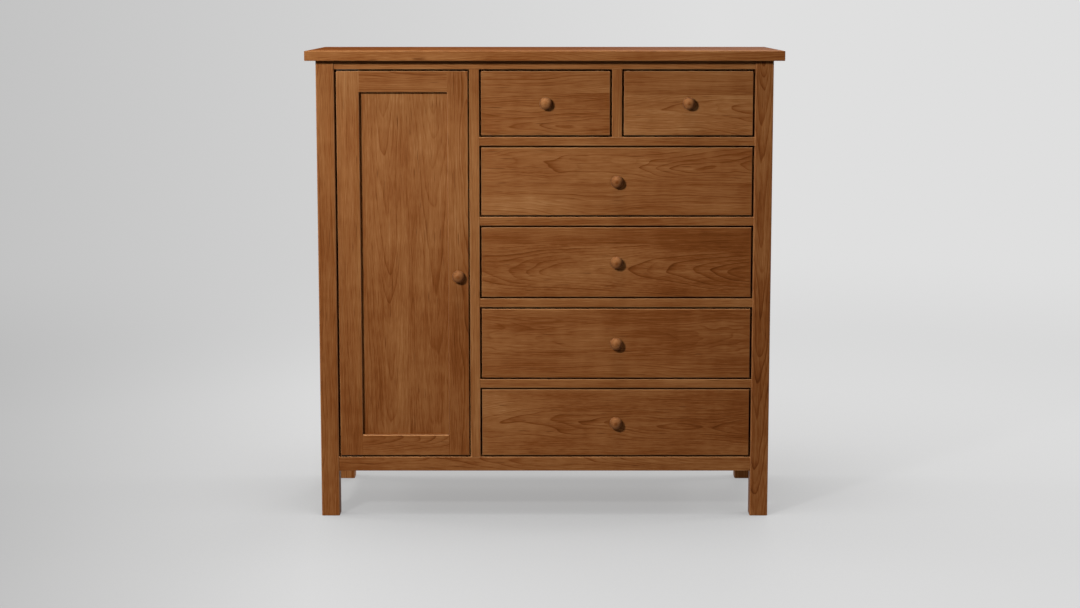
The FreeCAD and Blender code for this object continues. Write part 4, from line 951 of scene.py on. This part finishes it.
class CHIFFOROBE_OT_knobs(bpy.types.Operator):
    """Seven turned knobs, each with the screw that holds it"""

    bl_idname = "chifforobe.knobs"
    bl_label = "Knobs"

    def execute(self, context):
        colours, size, _ = settings()
        finish = stained_cherry(colours)
        # the arris term paints a highlight on the upper side of each dome, where light from above would fall
        finish["arris"], finish["rough"], finish["gloss"] = 0.2, 0.45, 0.15  # polished on the lathe and by hands
        turned, faces = lathe(knob_profile(size), turns=64)
        head_radius, head_thickness, shank_radius, recess, into_knob = 0.004, 0.0025, 0.002, 0.0014, 0.013
        steel = shared_material("Zinc plated steel", zinc_steel, colours)
        for number, ((node, body), tone) in enumerate(zip(KNOBS.items(), KNOB_TONES)):
            low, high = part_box(node)
            front = low.y + size.height
            middle = Vector(((low.x + high.x) / 2, low.y, (low.z + high.z) / 2))
            material = wood(f"Turned cherry {node}", finish, middle, X, -Y, [
                Board(across=0.03 - 0.01 * number, behind=0.03, tilt=0.1, tone=tone, seed=111 + number, rings=0.25),
            ])
            knob = new_piece(f"turned_{node}", set_on(turned, middle, (0, -1, 0), (1, 0, 0)), faces, material)
            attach(knob, body)
            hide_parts(node)

            under_head = high.y - head_thickness
            length = under_head - (front - into_knob)
            profile = screw_profile(head_radius, head_thickness, shank_radius, length)
            points, screw_faces = lathe(profile, turns=48, relief=cross_recess(head_radius, recess))
            turn = math.radians(23 + 51 * number)  # each cross has stopped at its own angle
            across = (math.cos(turn), 0, math.sin(turn))
            points = set_on(points, (middle.x, under_head, middle.z), (0, 1, 0), across)
            screw = new_piece(f"{node}_screw", points, screw_faces, steel)
            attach(screw, body)
            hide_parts(node)
        return {"FINISHED"}


class CHIFFOROBE_OT_case_screws(bpy.types.Operator):
    """Cross-head screws up into the top and through the back"""

    bl_idname = "chifforobe.case_screws"
    bl_label = "Case screws"

    def execute(self, context):
        _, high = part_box("assembly_screws")
        head, thick, shank, recess = 0.0045, 0.0025, 0.0025, 0.0015
        up, out = (0, 0, -1), (0, 1, 0)  # where the heads look
        top_length, back_length = 0.038, 0.025
        # up through the cleats: outer ones, the partition's and the top drawers' divider's
        cleats, rows = (head - high.x, -0.1563, 0.18485, high.x - head), (-0.0795, 0.1205)
        places = [((x, y, high.z - top_length), up, top_length) for x in cleats for y in rows]
        # through the back into the rear posts and rails
        back, post, rail = 0.2545, 0.542, 0.2685
        places += [((x, back, z), out, back_length) for x in (-post, post) for z in np.linspace(0.1645, 1.141, 5)]
        places += [((x, back, z), out, back_length) for x in (-rail, 0.0, rail) for z in (0.1375, 1.156)]
        shapes, faces, count = [], [], 0
        for number, (place, axis, length) in enumerate(places):
            profile = screw_profile(head, thick, shank, length)
            turned, sides = lathe(profile, turns=32, relief=cross_recess(head, recess))
            turn = math.radians(17 + 67 * number)  # each cross has stopped at its own angle
            across = (math.cos(turn), math.sin(turn), 0) if axis is up else (math.cos(turn), 0, math.sin(turn))
            shapes.append(set_on(turned, place, axis, across))
            faces += [[corner + count for corner in face] for face in sides]
            count += len(turned)
        steel = shared_material("Zinc plated steel", zinc_steel, settings()[0])
        screws = new_piece("case_screws", np.concatenate(shapes), faces, steel)
        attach(screws, "carcass")
        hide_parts("assembly_screws")
        return {"FINISHED"}


class CHIFFOROBE_OT_fittings(bpy.types.Operator):
    """Hinges, shelf pins, strike plate and catch"""

    bl_idname = "chifforobe.fittings"
    bl_label = "Fittings"

    def execute(self, context):
        colours = settings()[0]
        steel = shared_material("Zinc plated steel", zinc_steel, colours)
        for name in ("shelf_pins", "door_strike_plate"):
            finish_node(name, steel)
        for name in ("hinge_frame_leaves", "hinge_door_leaves"):
            finish_node(name, shared_material("Bronzed steel", bronzed_steel, colours))
        finish_node("magnetic_catch", shared_material("Moulded ABS", moulded_plastic, colours))
        return {"FINISHED"}


class CHIFFOROBE_PT_panel(bpy.types.Panel):
    """Finishes and pieces of the chifforobe"""

    bl_idname = "CHIFFOROBE_PT_panel"
    bl_label = "Chifforobe"
    bl_space_type = "VIEW_3D"
    bl_region_type = "UI"
    bl_category = "Chifforobe"

    def draw(self, context):
        for group in settings():
            for name in group.bl_rna.properties.keys():
                if name not in ("rna_type", "name"):
                    self.layout.prop(group, name)
        for operator in OPERATORS:
            self.layout.operator(operator.bl_idname)


OPERATORS = (
    CHIFFOROBE_OT_stage,
    CHIFFOROBE_OT_posts,
    CHIFFOROBE_OT_top_board,
    CHIFFOROBE_OT_front_frame,
    CHIFFOROBE_OT_sides,
    CHIFFOROBE_OT_door,
    CHIFFOROBE_OT_drawer_fronts,
    CHIFFOROBE_OT_inside,
    CHIFFOROBE_OT_drawer_boxes,
    CHIFFOROBE_OT_knobs,
    CHIFFOROBE_OT_case_screws,
    CHIFFOROBE_OT_fittings,
)
GROUPS = (
    ("chifforobe_colours", ChifforobeColours),
    ("chifforobe_knobs", ChifforobeKnobs),
    ("chifforobe_stage", ChifforobeStage),
)


def register():
    for name, group in GROUPS:
        bpy.utils.register_class(group)
        setattr(bpy.types.Scene, name, bpy.props.PointerProperty(type=group))
    for operator in OPERATORS:
        bpy.utils.register_class(operator)
    bpy.utils.register_class(CHIFFOROBE_PT_panel)


def unregister():
    bpy.utils.unregister_class(CHIFFOROBE_PT_panel)
    for operator in reversed(OPERATORS):
        bpy.utils.unregister_class(operator)
    for name, group in reversed(GROUPS):
        delattr(bpy.types.Scene, name)
        bpy.utils.unregister_class(group)


def main():
    """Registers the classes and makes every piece."""
    register()
    for operator in OPERATORS:
        group, name = operator.bl_idname.split(".")
        getattr(getattr(bpy.ops, group), name)()


if __name__ == "__main__":
    main()
